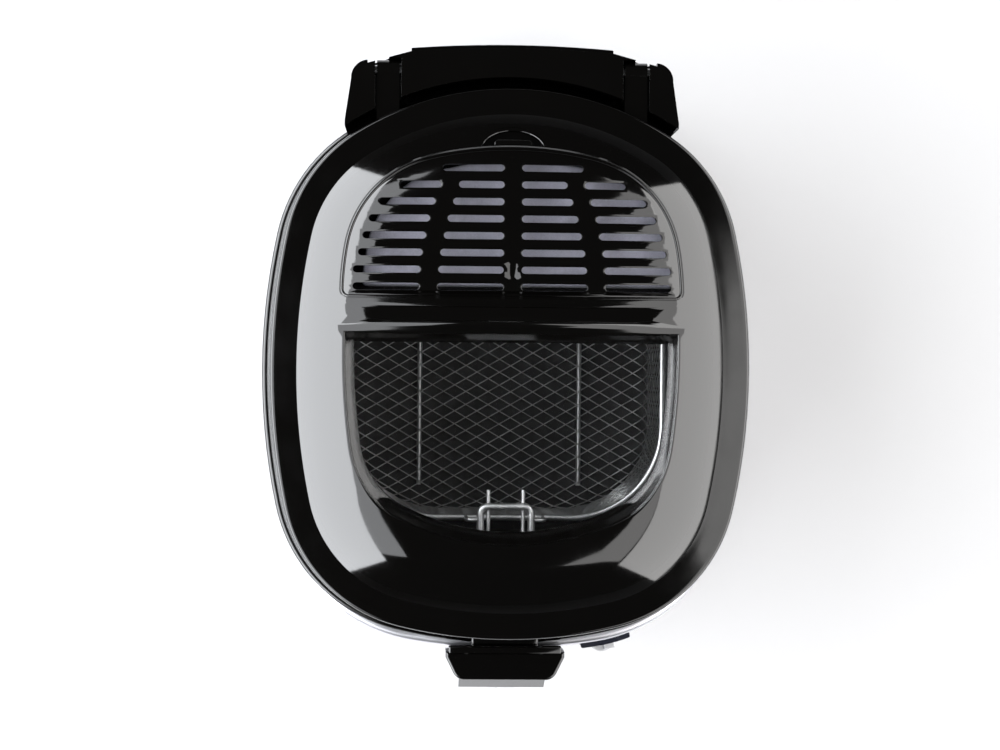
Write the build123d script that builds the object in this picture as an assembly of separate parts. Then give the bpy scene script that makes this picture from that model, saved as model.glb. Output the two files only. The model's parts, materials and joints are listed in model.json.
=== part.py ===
"""Deep fryer with a hinged lid, a basket that lifts with its folding handle, and a slide thermostat.

Millimetres. X runs to the right, Y to the rear and Z up. Z = 0 is the worktop under the feet.
"""
from build123d import *
import math
import os

os.makedirs("parts", exist_ok=True)

# ---------------------------------------------------------------- plan of the body
RIM_HALF_WIDTH = 135.0
WIDEST_Y = 5.3
FRONT_REACH = 151.3
REAR_REACH = 157.0
SIDE_RADIUS = 358.0
CORNER_RADIUS = 90.0
FRONT_RADIUS = 255.0
REAR_RADIUS = 164.0
CASE_FRONT_Y = WIDEST_Y - FRONT_REACH
CASE_REAR_Y = WIDEST_Y + REAR_REACH

# ---------------------------------------------------------------- heights
FOOT_HEIGHT = 4.0
BODY_BOTTOM = 24.0
BASE_OVERLAP = 6.0
BASE_WALL_TOP = BODY_BOTTOM + BASE_OVERLAP
BODY_TOP = 165.0
RIM_HEIGHT = 7.0
RIM_TOP = BODY_TOP + RIM_HEIGHT
LID_GAP = 0.8
LID_BAND_HEIGHT = 52.0
LID_BAND_Z = RIM_TOP + LID_BAND_HEIGHT
CROWN_HEIGHT = 21.0
TOTAL_HEIGHT = LID_BAND_Z + CROWN_HEIGHT

# ---------------------------------------------------------------- clearances
RUNNING = 0.05
SEAT_GAP = 0.3
FIT_GAP = 0.4

# ---------------------------------------------------------------- casing
BASE_WALL = 2.5
STEEL_WALL = 1.2
BODY_INSET = 1.5
BODY_BULGE = 5.5
BODY_FRONT_RADIUS = 320.0
SHOULDER_RADIUS = 3.5
RIM_LEDGE = 18.0
RIM_LIP_DEPTH = 10.0
RIM_LIP_WALL = 2.0
FOOT_RADIUS = 11.0
FOOT_STEM_RADIUS = 4.0
FOOT_SIDE_MARGIN = 47.0
FOOT_INSET_X = RIM_HALF_WIDTH - FOOT_SIDE_MARGIN
FOOT_FRONT_MARGIN = 54.0
FOOT_FRONT_Y = CASE_FRONT_Y + FOOT_FRONT_MARGIN
FOOT_REAR_MARGIN = 54.3
FOOT_REAR_Y = CASE_REAR_Y - FOOT_REAR_MARGIN
VENT_WIDTH = 4.0
VENT_LENGTH = 46.0
VENT_PITCH = 10.0
VENT_COUNT = 7
BASE_BOSS_RADIUS = 5.5
BASE_SCREW_RADIUS = 2.0
BASE_SCREW_HEAD = 3.8
BASE_SCREW_PITCH = 22.0
BASE_SCREW_X = FOOT_INSET_X - BASE_SCREW_PITCH
SCREW_SLOT_WIDTH = 0.8
SCREW_SLOT_DEPTH = 0.8
RIM_EDGE_FILLET = 2.0
SCREW_HEAD_DEPTH = 1.6

# ---------------------------------------------------------------- bowl and heater
BOWL_SIDE_MARGIN = 34.0
BOWL_FRONT_MARGIN = 54.0
BOWL_REAR_MARGIN = 62.3
BOWL_DEPTH = 120.0
BOWL_FRONT_Y = CASE_FRONT_Y + BOWL_FRONT_MARGIN
BOWL_REAR_Y = CASE_REAR_Y - BOWL_REAR_MARGIN
BOWL_Y = (BOWL_FRONT_Y + BOWL_REAR_Y) / 2
BOWL_HALF_WIDTH = RIM_HALF_WIDTH - BOWL_SIDE_MARGIN
BOWL_HALF_DEPTH = (BOWL_REAR_Y - BOWL_FRONT_Y) / 2
BOWL_CORNER = 62.0
BOWL_WALL = 1.8
BOWL_FLANGE = 8.0
BOWL_FLOOR_Z = RIM_TOP - BOWL_DEPTH
BOWL_FLOOR_FILLET = 12.0
EMBOSS_INNER = 44.0
EMBOSS_OUTER = 50.7
EMBOSS_HEIGHT = 1.2
FILL_MARK_LENGTH = 24.0
FILL_MARK_SIZE = 1.2
FILL_MARK_RISES = (46.0, 74.0)
SHIELD_GAP = 8.0
SHIELD_WALL = 0.8
SHIELD_RISE = 20.0
SHIELD_BOTTOM = BOWL_FLOOR_Z + SHIELD_RISE
PLATE_RADIUS = 62.0
PLATE_THICKNESS = 5.0
PLATE_EDGE_FILLET = 1.0
ELEMENT_RADIUS = 47.0
ELEMENT_TUBE = 3.3
ELEMENT_SWEEP = 316.0
COLD_END_LENGTH = 9.0
TERMINAL_WIDTH = 6.3
TERMINAL_THICKNESS = 0.8
TERMINAL_LENGTH = 8.0
CUTOUT_RADIUS = 9.0
CUTOUT_HEIGHT = 6.0
BULB_RADIUS = 3.0
BULB_LENGTH = 70.0
BULB_RISE = 14.0
BULB_Z = BOWL_FLOOR_Z + BULB_RISE
CAPILLARY_RADIUS = 0.8
CAPILLARY_BEND = 4.0

# ---------------------------------------------------------------- thermostat and bezel
CONTROL_X = 57.0
BEZEL_WIDTH = 28.0
BEZEL_THICKNESS = 3.2
BEZEL_LENGTH = 88.0
BEZEL_DROP = 7.0
BEZEL_CORNER = 1.0
BEZEL_TOP = BODY_TOP - BEZEL_DROP
BEZEL_BOTTOM = BEZEL_TOP - BEZEL_LENGTH
PANEL_FRONT = -15.0
PANEL_BACK = 8.0
SLOT_WIDTH = 5.0
SLIDER_TRAVEL = 20.0
SLIDER_DROP = 42.0
SLIDER_Z = BEZEL_TOP - SLIDER_DROP
SLIDER_HEIGHT = 16.0
THUMB_RADIUS = 7.6
THUMB_FILLET = 1.2
STEM_WIDTH = 3.6
STEM_HEIGHT = 8.0
STEM_LENGTH = 13.0
GRIP_SIZE = 6.4
GRIP_MARGIN = 0.6
GRIP_STAND = 2.0
GRIP_FILLET = 0.8
THERMOSTAT_SIZE = (30.0, 24.0, 56.0)
THERMOSTAT_WALL = 1.6
LENS_RADIUS = 2.4
LENS_DROP = 8.0
LENS_Z = BEZEL_TOP - LENS_DROP
LENS_STAND = 0.6
LENS_FILLET = 0.5
LAMP_LENGTH = 14.0
LAMP_GAP = 0.2

# ---------------------------------------------------------------- rear housing and lid hinge
HOUSING_FRONT_X = 88.9
HOUSING_FRONT_Y = CASE_REAR_Y - 25.3
HOUSING_LAP = 40.0
HOUSING_SIDE_X = 85.7
HOUSING_SIDE_Y = CASE_REAR_Y - 3.3
HOUSING_CORNER_SWELL_X = 2.2
HOUSING_CORNER_SWELL_Y = 1.6
CHEEK_X = 77.0
CHEEK_Y = CASE_REAR_Y + 6.7
CHEEK_STEP = 1.6
COVER_HALF_WIDTH = 53.8
COVER_STEP = 2.0
COVER_THICKNESS = 2.4
COVER_FILLET = 0.6
COVER_LAP = 7.2
COVER_BORDER = 12.0
MIDDLE_EDGE_Y = CASE_REAR_Y + 11.5
REAR_LIMIT = CASE_REAR_Y + 15.7
HOUSING_WALL = 2.6
HOUSING_DROP = 2.5
HOUSING_TOP = LID_BAND_Z - HOUSING_DROP
HINGE_Y = CASE_REAR_Y + 2.2
HINGE_DROP = 8.0
HINGE_Z = LID_BAND_Z - HINGE_DROP
HINGE_PIN_RADIUS = 2.2
ARM_RADIUS = 5.0
ARM_WIDTH = 12.0
ARM_NECK = 1.0
ARM_ROOT = 20.0
ARM_X = 66.0
ARM_SLOT_GAP = 1.0
HINGE_WALL = 4.0
GLAND_RADIUS = 6.0
GLAND_BORE = 3.6
GLAND_RISE = 20.0
GLAND_Z = BODY_BOTTOM + GLAND_RISE
GLAND_SINK = 1.4
GLAND_X = 34.0
GLAND_LENGTH = 8.0
COVER_SCREW_RADIUS = 1.8
COVER_SCREW_HEAD = 2.1
COVER_SCREW_SINK = 0.4
COVER_SCREW_MARGIN = 6.0
COVER_SCREW_LENGTH = 9.0
COVER_SCREW_HOLE = 10.0
TERMINAL_BLOCK_SIZE = (36.0, 8.0, 14.0)
TERMINAL_BLOCK_SETBACK = 12.0
TERMINAL_WELL_RADIUS = 2.4
TERMINAL_WELL_PITCH = 11.0
TERMINAL_WELL_DEPTH = 8.0

# ---------------------------------------------------------------- lid
LID_INSET = 2.5
LID_DRAFT = 5.5
LID_WALL = 2.6
BAND_ROUND = 2.5
CROWN = ((22.0, 2.5), (33.0, 11.0), (46.0, 17.0), (62.0, CROWN_HEIGHT))
LID_EDGE_FILLET = 2.0
NOTCH_HALF_WIDTH = 20.0
NOTCH_DROP = 2.8
NOTCH_TOP = LID_BAND_Z - NOTCH_DROP

WINDOW_TOP_Y = 19.2
WINDOW_SIDE_MARGIN = 52.5
WINDOW_HALF_WIDTH = RIM_HALF_WIDTH - WINDOW_SIDE_MARGIN
WINDOW_FRONT_MARGIN = 65.8
WINDOW_REACH = WINDOW_TOP_Y - CASE_FRONT_Y - WINDOW_FRONT_MARGIN
WINDOW_RADII = (380.0, 43.0, 123.0)
WINDOW_BEVEL = 6.6
WINDOW_DEPTH = 9.5
WINDOW_LEDGE_Z = TOTAL_HEIGHT - WINDOW_DEPTH
WINDOW_LEDGE = 2.4
PANE_OVERLAP = 3.4
PANE_THICKNESS = 3.0
GASKET_THICKNESS = 1.0
GASKET_SETBACK = 0.6
FRAME_WALL = 2.4

FILTER_FRONT_Y = 43.4
FILTER_SIDE_MARGIN = 46.7
FILTER_HALF_WIDTH = RIM_HALF_WIDTH - FILTER_SIDE_MARGIN
FILTER_REAR_MARGIN = 41.9
FILTER_REACH = CASE_REAR_Y - FILTER_REAR_MARGIN - FILTER_FRONT_Y
FILTER_RADII = (150.0, 57.0, 190.0)
FILTER_GAP = 0.7
FILTER_WALL = 2.2
FILTER_DEPTH = 31.0
FILTER_FLOOR_Z = TOTAL_HEIGHT - FILTER_DEPTH
FILTER_FLOOR = 2.0
COVER_WALL = 2.4
SLOT_ROW_Y = 48.1
SLOT_PITCH = 8.9
SLOT_HEIGHT = 3.6
SLOT_BAR = 9.4
SLOT_MARGIN = 2.4
INNER_SLOTS = (34.5, 34.0, 33.0, 31.2, 29.3, 26.5, 23.5, 32.0)
OUTER_SLOTS = (34.5, 35.0, 33.3, 32.9, 31.6, 29.3, 21.3, 0.0)
TAB_RECESS_RADIUS = 16.2
TAB_RECESS_DEPTH = 14.0
TAB_RECESS_REACH = 10.3
TAB_HALF_WIDTH = 10.0
TAB_REACH = 5.6
TAB_ROOT = 6.0
TAB_DROP = 7.2
TAB_THICKNESS = 2.4
TRAY_VENT_PITCH = 14.0
TRAY_VENT_ROWS = 4
MAT_GAPS = 4
CHARCOAL_HEIGHT = 10.0
FLEECE_HEIGHT = 8.0
FLEECE_INSET = 5.0
FLEECE_SHIFT = 4.0

LINER_INSET = 11.0
LINER_WALL = 1.6
LINER_RISE = 5.0
LINER_BOTTOM = RIM_TOP + LINER_RISE
LINER_HEIGHT = 22.0
LINER_TOP = LINER_BOTTOM + LINER_HEIGHT
LINER_VENT_RADIUS = 3.0
LINER_VENT_PITCH = 15.0
LINER_VENT_ROWS = 3
SEAL_WALL = 4.4
LID_SCREW_RADIUS = 1.6
LID_SCREW_HEAD = 3.2
LID_SCREW_MARGIN = 32.0
LID_SCREW_X = RIM_HALF_WIDTH - LID_SCREW_MARGIN
LID_SCREW_Y = (CASE_FRONT_Y + 94.0, CASE_REAR_Y - 84.3)
LID_SCREW_LENGTH = 12.0
LID_BOSS_RISE = 4.0

# ---------------------------------------------------------------- basket and handle
BASKET_SIDE_GAP = 12.0
BASKET_HALF_WIDTH = BOWL_HALF_WIDTH - BASKET_SIDE_GAP
BASKET_END_GAP = 14.0
BASKET_HALF_DEPTH = BOWL_HALF_DEPTH - BASKET_END_GAP
BASKET_CORNER_CUT = 10.0
BASKET_CORNER = BOWL_CORNER - BASKET_CORNER_CUT
BASKET_WALL = 1.2
BASKET_FLOOR_FILLET = 10.0
BASKET_DROP = 22.0
BASKET_RIM_Z = RIM_TOP - BASKET_DROP
RIM_WIRE = 1.8
FOOT_WIRE = 1.5
FOOT_WIRE_X = 48.0
FOOT_WIRE_MARGIN = 4.0
YOKE_WIRE = 2.0
YOKE_RISE = 6.4
YOKE_Z = RIM_TOP + YOKE_RISE
YOKE_HALF_WIDTH = 14.0
YOKE_LAP = 8.0
YOKE_REAR_Y = BOWL_Y - BASKET_HALF_DEPTH + YOKE_LAP
YOKE_BEND = 4.0
ROD_WIRE = 1.15
ROD_X = 9.6
ROD_OVERRUN = 9.0
ROD_END_Y = YOKE_REAR_Y + ROD_OVERRUN
CLIP_X = 21.5
CLIP_WIRE = 1.1
CLIP_BEND = 2.5
HOOD_HALF_WIDTH = 32.5
HOOD_FRONT_HALF = 26.4
HOOD_GAP = 3.0
HOOD_REAR_Y = CASE_FRONT_Y - HOOD_GAP
FRONT_OVERHANG = 2.0
HOOD_DEPTH = 15.5
HOOD_FRONT_Y = HOOD_REAR_Y - HOOD_DEPTH
HOOD_WALL = 3.0
HOOD_RISE = 15.0
HOOD_TOP = RIM_TOP + HOOD_RISE
HOOD_FILLET = 1.6
HOOD_REAR_LAP = 4.0
HOOD_REAR_BOTTOM = RIM_TOP - HOOD_REAR_LAP
HOOD_SIDE_LAP = 11.0
HOOD_BOTTOM = RIM_TOP - HOOD_SIDE_LAP
HOOD_CORNER = 7.0
HANDLE_PIN_RADIUS = 1.8
HANDLE_PIN_SETBACK = 9.6
HANDLE_PIN_Y = HOOD_REAR_Y - HANDLE_PIN_SETBACK
HANDLE_PIN_DROP = 1.0
HANDLE_PIN_Z = RIM_TOP - HANDLE_PIN_DROP
GRIP_HALF_WIDTH = 24.4
GRIP_HEAD_RADIUS = 6.0
GRIP_LENGTH = 92.0
GRIP_STAND_OUT = 17.6
GRIP_FRONT_Y = HANDLE_PIN_Y - GRIP_STAND_OUT
GRIP_PLATE = 3.4
GRIP_SPLIT_Y = HANDLE_PIN_Y + GRIP_HEAD_RADIUS - GRIP_PLATE
GRIP_WALL = 2.6
GRIP_CORNER = 8.0
GRIP_SWELL_TOP = 18.0
GRIP_SWELL_FULL = 44.0
GRIP_TAPER_FROM = 76.0
GRIP_HEAD_LENGTH = 10.0
GRIP_SCREW_RADIUS = 1.3
GRIP_SCREW_HEAD = 2.4
GRIP_SCREW_DROPS = (30.0, 84.0)
GRIP_SCREW_REACH = 7.0
GRIP_BOSS_SETBACK = 8.0
GRIP_HOLE_GAP = 0.2
ACROSS = 50.0
BUTTON_HALF_WIDTH = 10.0
BUTTON_HEIGHT = 16.0
BUTTON_DROP = 62.0
BUTTON_STAND = 1.8
BUTTON_CORNER = 4.0
BUTTON_FILLET = 1.0
BUTTON_GAP = 0.3
BUTTON_SKIRT = 1.6
BUTTON_SKIRT_THICKNESS = 1.4
SPRING_RADIUS = 2.6
SPRING_WIRE = 0.4
SPRING_TURNS = 4


# ================================================================ shared shapes
def block(x0, x1, y0, y1, z0, z1):
    """A box between two opposite corners."""
    size = Box(x1 - x0, y1 - y0, z1 - z0)
    return Pos((x0 + x1) / 2, (y0 + y1) / 2, (z0 + z1) / 2) * size


def rod_z(radius, x, y, z0, z1):
    """An upright cylinder."""
    return Pos(x, y, (z0 + z1) / 2) * Cylinder(radius, z1 - z0)


def rod_x(radius, x0, x1, y, z):
    """A cylinder along X."""
    return Pos((x0 + x1) / 2, y, z) * Rot(0, 90, 0) * Cylinder(radius, x1 - x0)


def rod_y(radius, x, y0, y1, z):
    """A cylinder along Y."""
    return Pos(x, (y0 + y1) / 2, z) * Rot(90, 0, 0) * Cylinder(radius, y1 - y0)


def slab(face, z0, z1):
    """A flat face in Z = 0 raised into a solid from z0 to z1."""
    return extrude(Pos(0, 0, z0) * face, amount=z1 - z0, dir=(0, 0, 1))


def upward(edges):
    """A flat face bounded by edges, facing up."""
    face = Face(Wire(edges))
    return face if face.normal_at().Z > 0 else -face


def arc(centre, radius, start, finish):
    """The shorter arc about centre from start to finish."""
    middle = centre + ((start - centre) + (finish - centre)).normalized() * radius
    return Edge.make_three_point_arc(start, middle, finish)


def rounded_end(half_width, reach, radii, y_mid, sign):
    """Five tangent arcs from the right of the widest line, round one end, to its left."""
    side_radius, corner_radius, end_radius = radii
    side = Vector(half_width - side_radius, 0)
    end = Vector(0, reach - end_radius)
    to_side = side_radius - corner_radius
    to_end = end_radius - corner_radius
    gap = (end - side).length
    unit = (end - side).normalized()
    along = (to_side**2 - to_end**2 + gap**2) / (2 * gap)
    across = math.sqrt(to_side**2 - along**2)
    corner = side + unit * along + Vector(-unit.Y, unit.X) * across
    side_join = side + (corner - side).normalized() * side_radius
    end_join = end + (corner - end).normalized() * end_radius

    def place(point, mirror=1):
        return Vector(mirror * point.X, y_mid + sign * point.Y)

    right = [
        arc(place(side), side_radius, place(Vector(half_width, 0)), place(side_join)),
        arc(place(corner), corner_radius, place(side_join), place(end_join)),
    ]
    cap = arc(place(end), end_radius, place(end_join), place(end_join, -1))
    left = [
        arc(place(corner, -1), corner_radius, place(end_join, -1), place(side_join, -1)),
        arc(place(side, -1), side_radius, place(side_join, -1), place(Vector(half_width, 0), -1)),
    ]
    return right + [cap] + left


def outline(inset, bulge=0.0, front_radius=FRONT_RADIUS):
    """Plan of the casing with its edge moved in by inset, and its front out by bulge."""
    half_width = RIM_HALF_WIDTH - inset
    front_radii = (SIDE_RADIUS - inset, CORNER_RADIUS - inset, front_radius - inset)
    rear_radii = (SIDE_RADIUS - inset, CORNER_RADIUS - inset, REAR_RADIUS - inset)
    front = rounded_end(half_width, FRONT_REACH - inset + bulge, front_radii, WIDEST_Y, -1)
    rear = rounded_end(half_width, REAR_REACH - inset, rear_radii, WIDEST_Y, 1)
    return upward(front + rear)


def body_plan(inset):
    """Plan of the steel body, which swells past the rim at the front."""
    return outline(BODY_INSET + inset, BODY_BULGE, BODY_FRONT_RADIUS)


def bowl_plan(grow):
    """Plan of the oil bowl, moved out by grow."""
    shape = RectangleRounded(2 * (BOWL_HALF_WIDTH + grow), 2 * (BOWL_HALF_DEPTH + grow), BOWL_CORNER + grow)
    return Pos(0, BOWL_Y) * shape


def basket_plan(grow):
    """Plan of the basket wall, moved out by grow."""
    width = 2 * (BASKET_HALF_WIDTH + grow)
    depth = 2 * (BASKET_HALF_DEPTH + grow)
    return Pos(0, BOWL_Y) * RectangleRounded(width, depth, BASKET_CORNER + grow)


def half_round(half_width, reach, radii, straight_y, sign, grow):
    """A plan with one straight edge across and one rounded end, moved out by grow."""
    grown = [radius + grow for radius in radii]
    width = half_width + grow
    curve = rounded_end(width, reach + grow, grown, straight_y, sign)
    plan = Sketch() + upward(curve + [Edge.make_line(Vector(-width, straight_y), Vector(width, straight_y))])
    if grow == 0:
        return plan
    strip = Pos(0, straight_y - sign * grow / 2) * Rectangle(2 * width, abs(grow))
    return plan + strip if grow > 0 else plan - strip


def window_plan(grow):
    """Plan of the window: straight at the rear, rounded at the front."""
    return half_round(WINDOW_HALF_WIDTH, WINDOW_REACH, WINDOW_RADII, WINDOW_TOP_Y, -1, grow)


def filter_plan(grow):
    """Plan of the filter cover: straight at the front, rounded at the rear."""
    return half_round(FILTER_HALF_WIDTH, FILTER_REACH, FILTER_RADII, FILTER_FRONT_Y, 1, grow)


def body_front(x, inset=0.0):
    """Y of the steel body's front surface at x, and the angle of its outward normal from -Y."""
    radius = BODY_FRONT_RADIUS - BODY_INSET - inset
    centre_y = WIDEST_Y - (FRONT_REACH - BODY_INSET - inset + BODY_BULGE) + radius
    return centre_y - math.sqrt(radius**2 - x**2), math.degrees(math.asin(x / radius))


CONTROL_Y, CONTROL_ANGLE = body_front(CONTROL_X)
CONTROL = Pos(CONTROL_X, CONTROL_Y, 0) * Rot(0, 0, CONTROL_ANGLE)
LID_BOTTOM = RIM_TOP + LID_GAP
PLATE_TOP = BOWL_FLOOR_Z - BOWL_WALL
PLATE_BOTTOM = PLATE_TOP - PLATE_THICKNESS
BASE_FLOOR_TOP = FOOT_HEIGHT + BASE_WALL
BASKET_FLOOR_Z = BOWL_FLOOR_Z + EMBOSS_HEIGHT + SEAT_GAP + 2 * FOOT_WIRE
FOOT_PLACES = [(x, y) for x in (-FOOT_INSET_X, FOOT_INSET_X) for y in (FOOT_FRONT_Y, FOOT_REAR_Y)]
BASE_SCREW_PLACES = [(x, y) for x in (-BASE_SCREW_X, BASE_SCREW_X) for y in (FOOT_FRONT_Y, FOOT_REAR_Y)]
LID_SCREW_PLACES = [(x, y) for x in (-LID_SCREW_X, LID_SCREW_X) for y in LID_SCREW_Y]


# ================================================================ base and body
def feet():
    """Four rubber feet, each with a stem pushed into the base floor."""
    result = []
    for x, y in FOOT_PLACES:
        pad = rod_z(FOOT_RADIUS, x, y, 0, FOOT_HEIGHT)
        pad = fillet(pad.edges().group_by(Axis.Z)[0], FOOT_HEIGHT / 3)
        stem = rod_z(FOOT_STEM_RADIUS, x, y, FOOT_HEIGHT, BASE_FLOOR_TOP + BASE_WALL)
        result.append(pad + stem)
    return Compound(result)


def base_tray():
    """Moulded tray under the body, with vent slots, foot holes and screw bosses."""
    inset = STEEL_WALL + SEAT_GAP
    tray = slab(body_plan(inset), FOOT_HEIGHT, BASE_WALL_TOP)
    tray = fillet(tray.edges().group_by(Axis.Z)[0], BASE_WALL * 2)
    tray -= slab(body_plan(inset + BASE_WALL), BASE_FLOOR_TOP, BASE_WALL_TOP + 1)
    for x, y in BASE_SCREW_PLACES:
        tray += rod_z(BASE_BOSS_RADIUS, x, y, BASE_FLOOR_TOP, BASE_WALL_TOP)
        tray -= rod_z(BASE_SCREW_RADIUS + FIT_GAP, x, y, 0, BASE_WALL_TOP + 1)
        tray -= rod_z(BASE_SCREW_HEAD + FIT_GAP, x, y, 0, FOOT_HEIGHT + SCREW_HEAD_DEPTH)
    for x, y in FOOT_PLACES:
        tray -= rod_z(FOOT_STEM_RADIUS + RUNNING, x, y, 0, BASE_FLOOR_TOP + 1)
    for row_y in (FOOT_FRONT_Y + VENT_LENGTH, FOOT_REAR_Y - VENT_LENGTH):
        for i in range(VENT_COUNT):
            x = (i - (VENT_COUNT - 1) / 2) * VENT_PITCH
            slot = Pos(x, row_y) * Rot(0, 0, 90) * SlotOverall(VENT_LENGTH, VENT_WIDTH)
            tray -= slab(slot, 0, BASE_FLOOR_TOP + 1)
    return tray


def base_screws():
    """Four screws up through the base bosses."""
    result = []
    for x, y in BASE_SCREW_PLACES:
        shank = rod_z(BASE_SCREW_RADIUS, x, y, FOOT_HEIGHT, BASE_WALL_TOP)
        head = rod_z(BASE_SCREW_HEAD, x, y, FOOT_HEIGHT, FOOT_HEIGHT + SCREW_HEAD_DEPTH)
        half = SCREW_SLOT_WIDTH / 2
        top = FOOT_HEIGHT + SCREW_SLOT_DEPTH
        slot = block(x - BASE_SCREW_HEAD, x + BASE_SCREW_HEAD, y - half, y + half, 0, top)
        result.append(shank + head - slot)
    return Compound(result)


def control_slot(z_margin):
    """The upright slot that the thermostat's stem runs in, in the body's frame."""
    low = SLIDER_Z - SLIDER_TRAVEL - STEM_HEIGHT / 2 - z_margin
    high = SLIDER_Z + SLIDER_TRAVEL + STEM_HEIGHT / 2 + z_margin
    return CONTROL * block(-SLOT_WIDTH / 2, SLOT_WIDTH / 2, PANEL_FRONT, PANEL_BACK, low, high)


def body_shell():
    """Brushed steel wrap with a rolled shoulder and a flange that carries the rim."""
    shell = slab(body_plan(0), BODY_BOTTOM, BODY_TOP)
    shell = fillet(shell.edges().group_by(Axis.Z)[-1], SHOULDER_RADIUS)
    shell -= slab(body_plan(STEEL_WALL), BODY_BOTTOM - 1, BODY_TOP - STEEL_WALL)
    shell -= slab(outline(RIM_LEDGE), BODY_BOTTOM, BODY_TOP + 1)
    shell -= control_slot(SEAT_GAP)
    shell -= CONTROL * rod_y(LENS_RADIUS, 0, PANEL_FRONT, PANEL_BACK, LENS_Z)
    shell -= rod_y(GLAND_RADIUS + FIT_GAP, GLAND_X, BOWL_Y, REAR_LIMIT, GLAND_Z)
    return shell


def top_rim():
    """Gloss moulding round the bowl mouth, with a lip that drops inside the steel flange."""
    rim = slab(outline(0), BODY_TOP, RIM_TOP)
    rim = fillet(rim.edges().group_by(Axis.Z)[-1] + rim.edges().group_by(Axis.Z)[0], RIM_EDGE_FILLET)
    lip_inset = RIM_LEDGE + FIT_GAP
    lip = slab(outline(lip_inset), BODY_TOP - RIM_LIP_DEPTH, BODY_TOP)
    lip -= slab(outline(lip_inset + RIM_LIP_WALL), BODY_TOP - RIM_LIP_DEPTH - 1, BODY_TOP + 1)
    rim -= slab(bowl_plan(FIT_GAP), BODY_TOP - 1, RIM_TOP + 1)
    rim -= slab(bowl_plan(BOWL_FLANGE + FIT_GAP), RIM_TOP - BOWL_WALL, RIM_TOP + 1)
    return rim + lip


# ================================================================ bowl and heating
def oil_bowl():
    """Non-stick bowl with a hanging flange, a raised ring over the heater and two fill marks."""
    bowl = slab(bowl_plan(0), PLATE_TOP, RIM_TOP)
    bowl = fillet(bowl.edges().group_by(Axis.Z)[0], BOWL_FLOOR_FILLET + BOWL_WALL)
    hollow = slab(bowl_plan(-BOWL_WALL), BOWL_FLOOR_Z, RIM_TOP + 1)
    hollow = fillet(hollow.edges().group_by(Axis.Z)[0], BOWL_FLOOR_FILLET)
    bowl += slab(bowl_plan(BOWL_FLANGE), RIM_TOP - BOWL_WALL, RIM_TOP)
    bowl -= hollow
    ring = rod_z(EMBOSS_OUTER, 0, BOWL_Y, BOWL_FLOOR_Z - 1, BOWL_FLOOR_Z + EMBOSS_HEIGHT)
    ring -= rod_z(EMBOSS_INNER, 0, BOWL_Y, BOWL_FLOOR_Z - 2, BOWL_FLOOR_Z + EMBOSS_HEIGHT + 1)
    bowl += ring
    wall_y = BOWL_Y + BOWL_HALF_DEPTH - BOWL_WALL
    half = FILL_MARK_LENGTH / 2
    for rise in FILL_MARK_RISES:
        z = BOWL_FLOOR_Z + rise
        bowl += block(-half, half, wall_y - FILL_MARK_SIZE, wall_y + 1, z, z + FILL_MARK_SIZE)
    return bowl


def heat_shield():
    """Thin sleeve that hangs from the rim round the hot bowl."""
    sleeve = slab(bowl_plan(SHIELD_GAP), SHIELD_BOTTOM, BODY_TOP)
    return sleeve - slab(bowl_plan(SHIELD_GAP - SHIELD_WALL), SHIELD_BOTTOM - 1, BODY_TOP + 1)


def heat_spreader():
    """Aluminium disc pressed to the underside of the bowl."""
    disc = rod_z(PLATE_RADIUS, 0, BOWL_Y, PLATE_BOTTOM, PLATE_TOP)
    return fillet(disc.edges().group_by(Axis.Z)[0], PLATE_EDGE_FILLET)


def element_ends():
    """The two places where the ring element turns down, in plan."""
    gap = math.radians((360 - ELEMENT_SWEEP) / 2)
    x = ELEMENT_RADIUS * math.sin(gap)
    y = BOWL_Y + ELEMENT_RADIUS * math.cos(gap)
    return [(-x, y), (x, y)]


def heating_element():
    """Sheathed ring element under the disc, its two cold ends turned down."""
    z = PLATE_BOTTOM - ELEMENT_TUBE
    start = 90 + (360 - ELEMENT_SWEEP) / 2
    section = Plane.XZ * Pos(ELEMENT_RADIUS, 0) * Circle(ELEMENT_TUBE)
    ring = revolve(section, Axis.Z, ELEMENT_SWEEP)
    result = Pos(0, BOWL_Y, z) * Rot(0, 0, start) * ring
    for x, y in element_ends():
        result += Pos(x, y, z) * Sphere(ELEMENT_TUBE)
        result += rod_z(ELEMENT_TUBE, x, y, z - COLD_END_LENGTH, z)
    return result


def heater_terminals():
    """Brass push-on tabs below the cold ends."""
    top = PLATE_BOTTOM - ELEMENT_TUBE - COLD_END_LENGTH
    half = TERMINAL_WIDTH / 2
    thin = TERMINAL_THICKNESS / 2
    low = top - TERMINAL_LENGTH
    tabs = [block(x - half, x + half, y - thin, y + thin, low, top) for x, y in element_ends()]
    return Compound(tabs)


def thermal_cutout():
    """Over-temperature switch against the middle of the disc."""
    body = rod_z(CUTOUT_RADIUS, 0, BOWL_Y, PLATE_BOTTOM - CUTOUT_HEIGHT, PLATE_BOTTOM)
    half = TERMINAL_WIDTH / 2
    low = PLATE_BOTTOM - CUTOUT_HEIGHT - TERMINAL_THICKNESS
    for side in (-1, 1):
        reach = sorted((side * (CUTOUT_RADIUS - half), side * (CUTOUT_RADIUS + TERMINAL_LENGTH)))
        body += block(reach[0], reach[1], BOWL_Y - half, BOWL_Y + half, low, low + TERMINAL_THICKNESS)
    return body


def thermostat_bulb():
    """Sensing bulb of the thermostat, held in a clip against the bowl wall."""
    y = BOWL_Y - BOWL_HALF_DEPTH - BULB_RADIUS
    return rod_x(BULB_RADIUS, -BULB_LENGTH / 2, BULB_LENGTH / 2, y, BULB_Z)


def thermostat_back():
    """Y of the thermostat's rear face and front face in the control frame."""
    front = STEEL_WALL + SEAT_GAP + STEM_HEIGHT / 2
    return front + THERMOSTAT_SIZE[1], front


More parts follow.
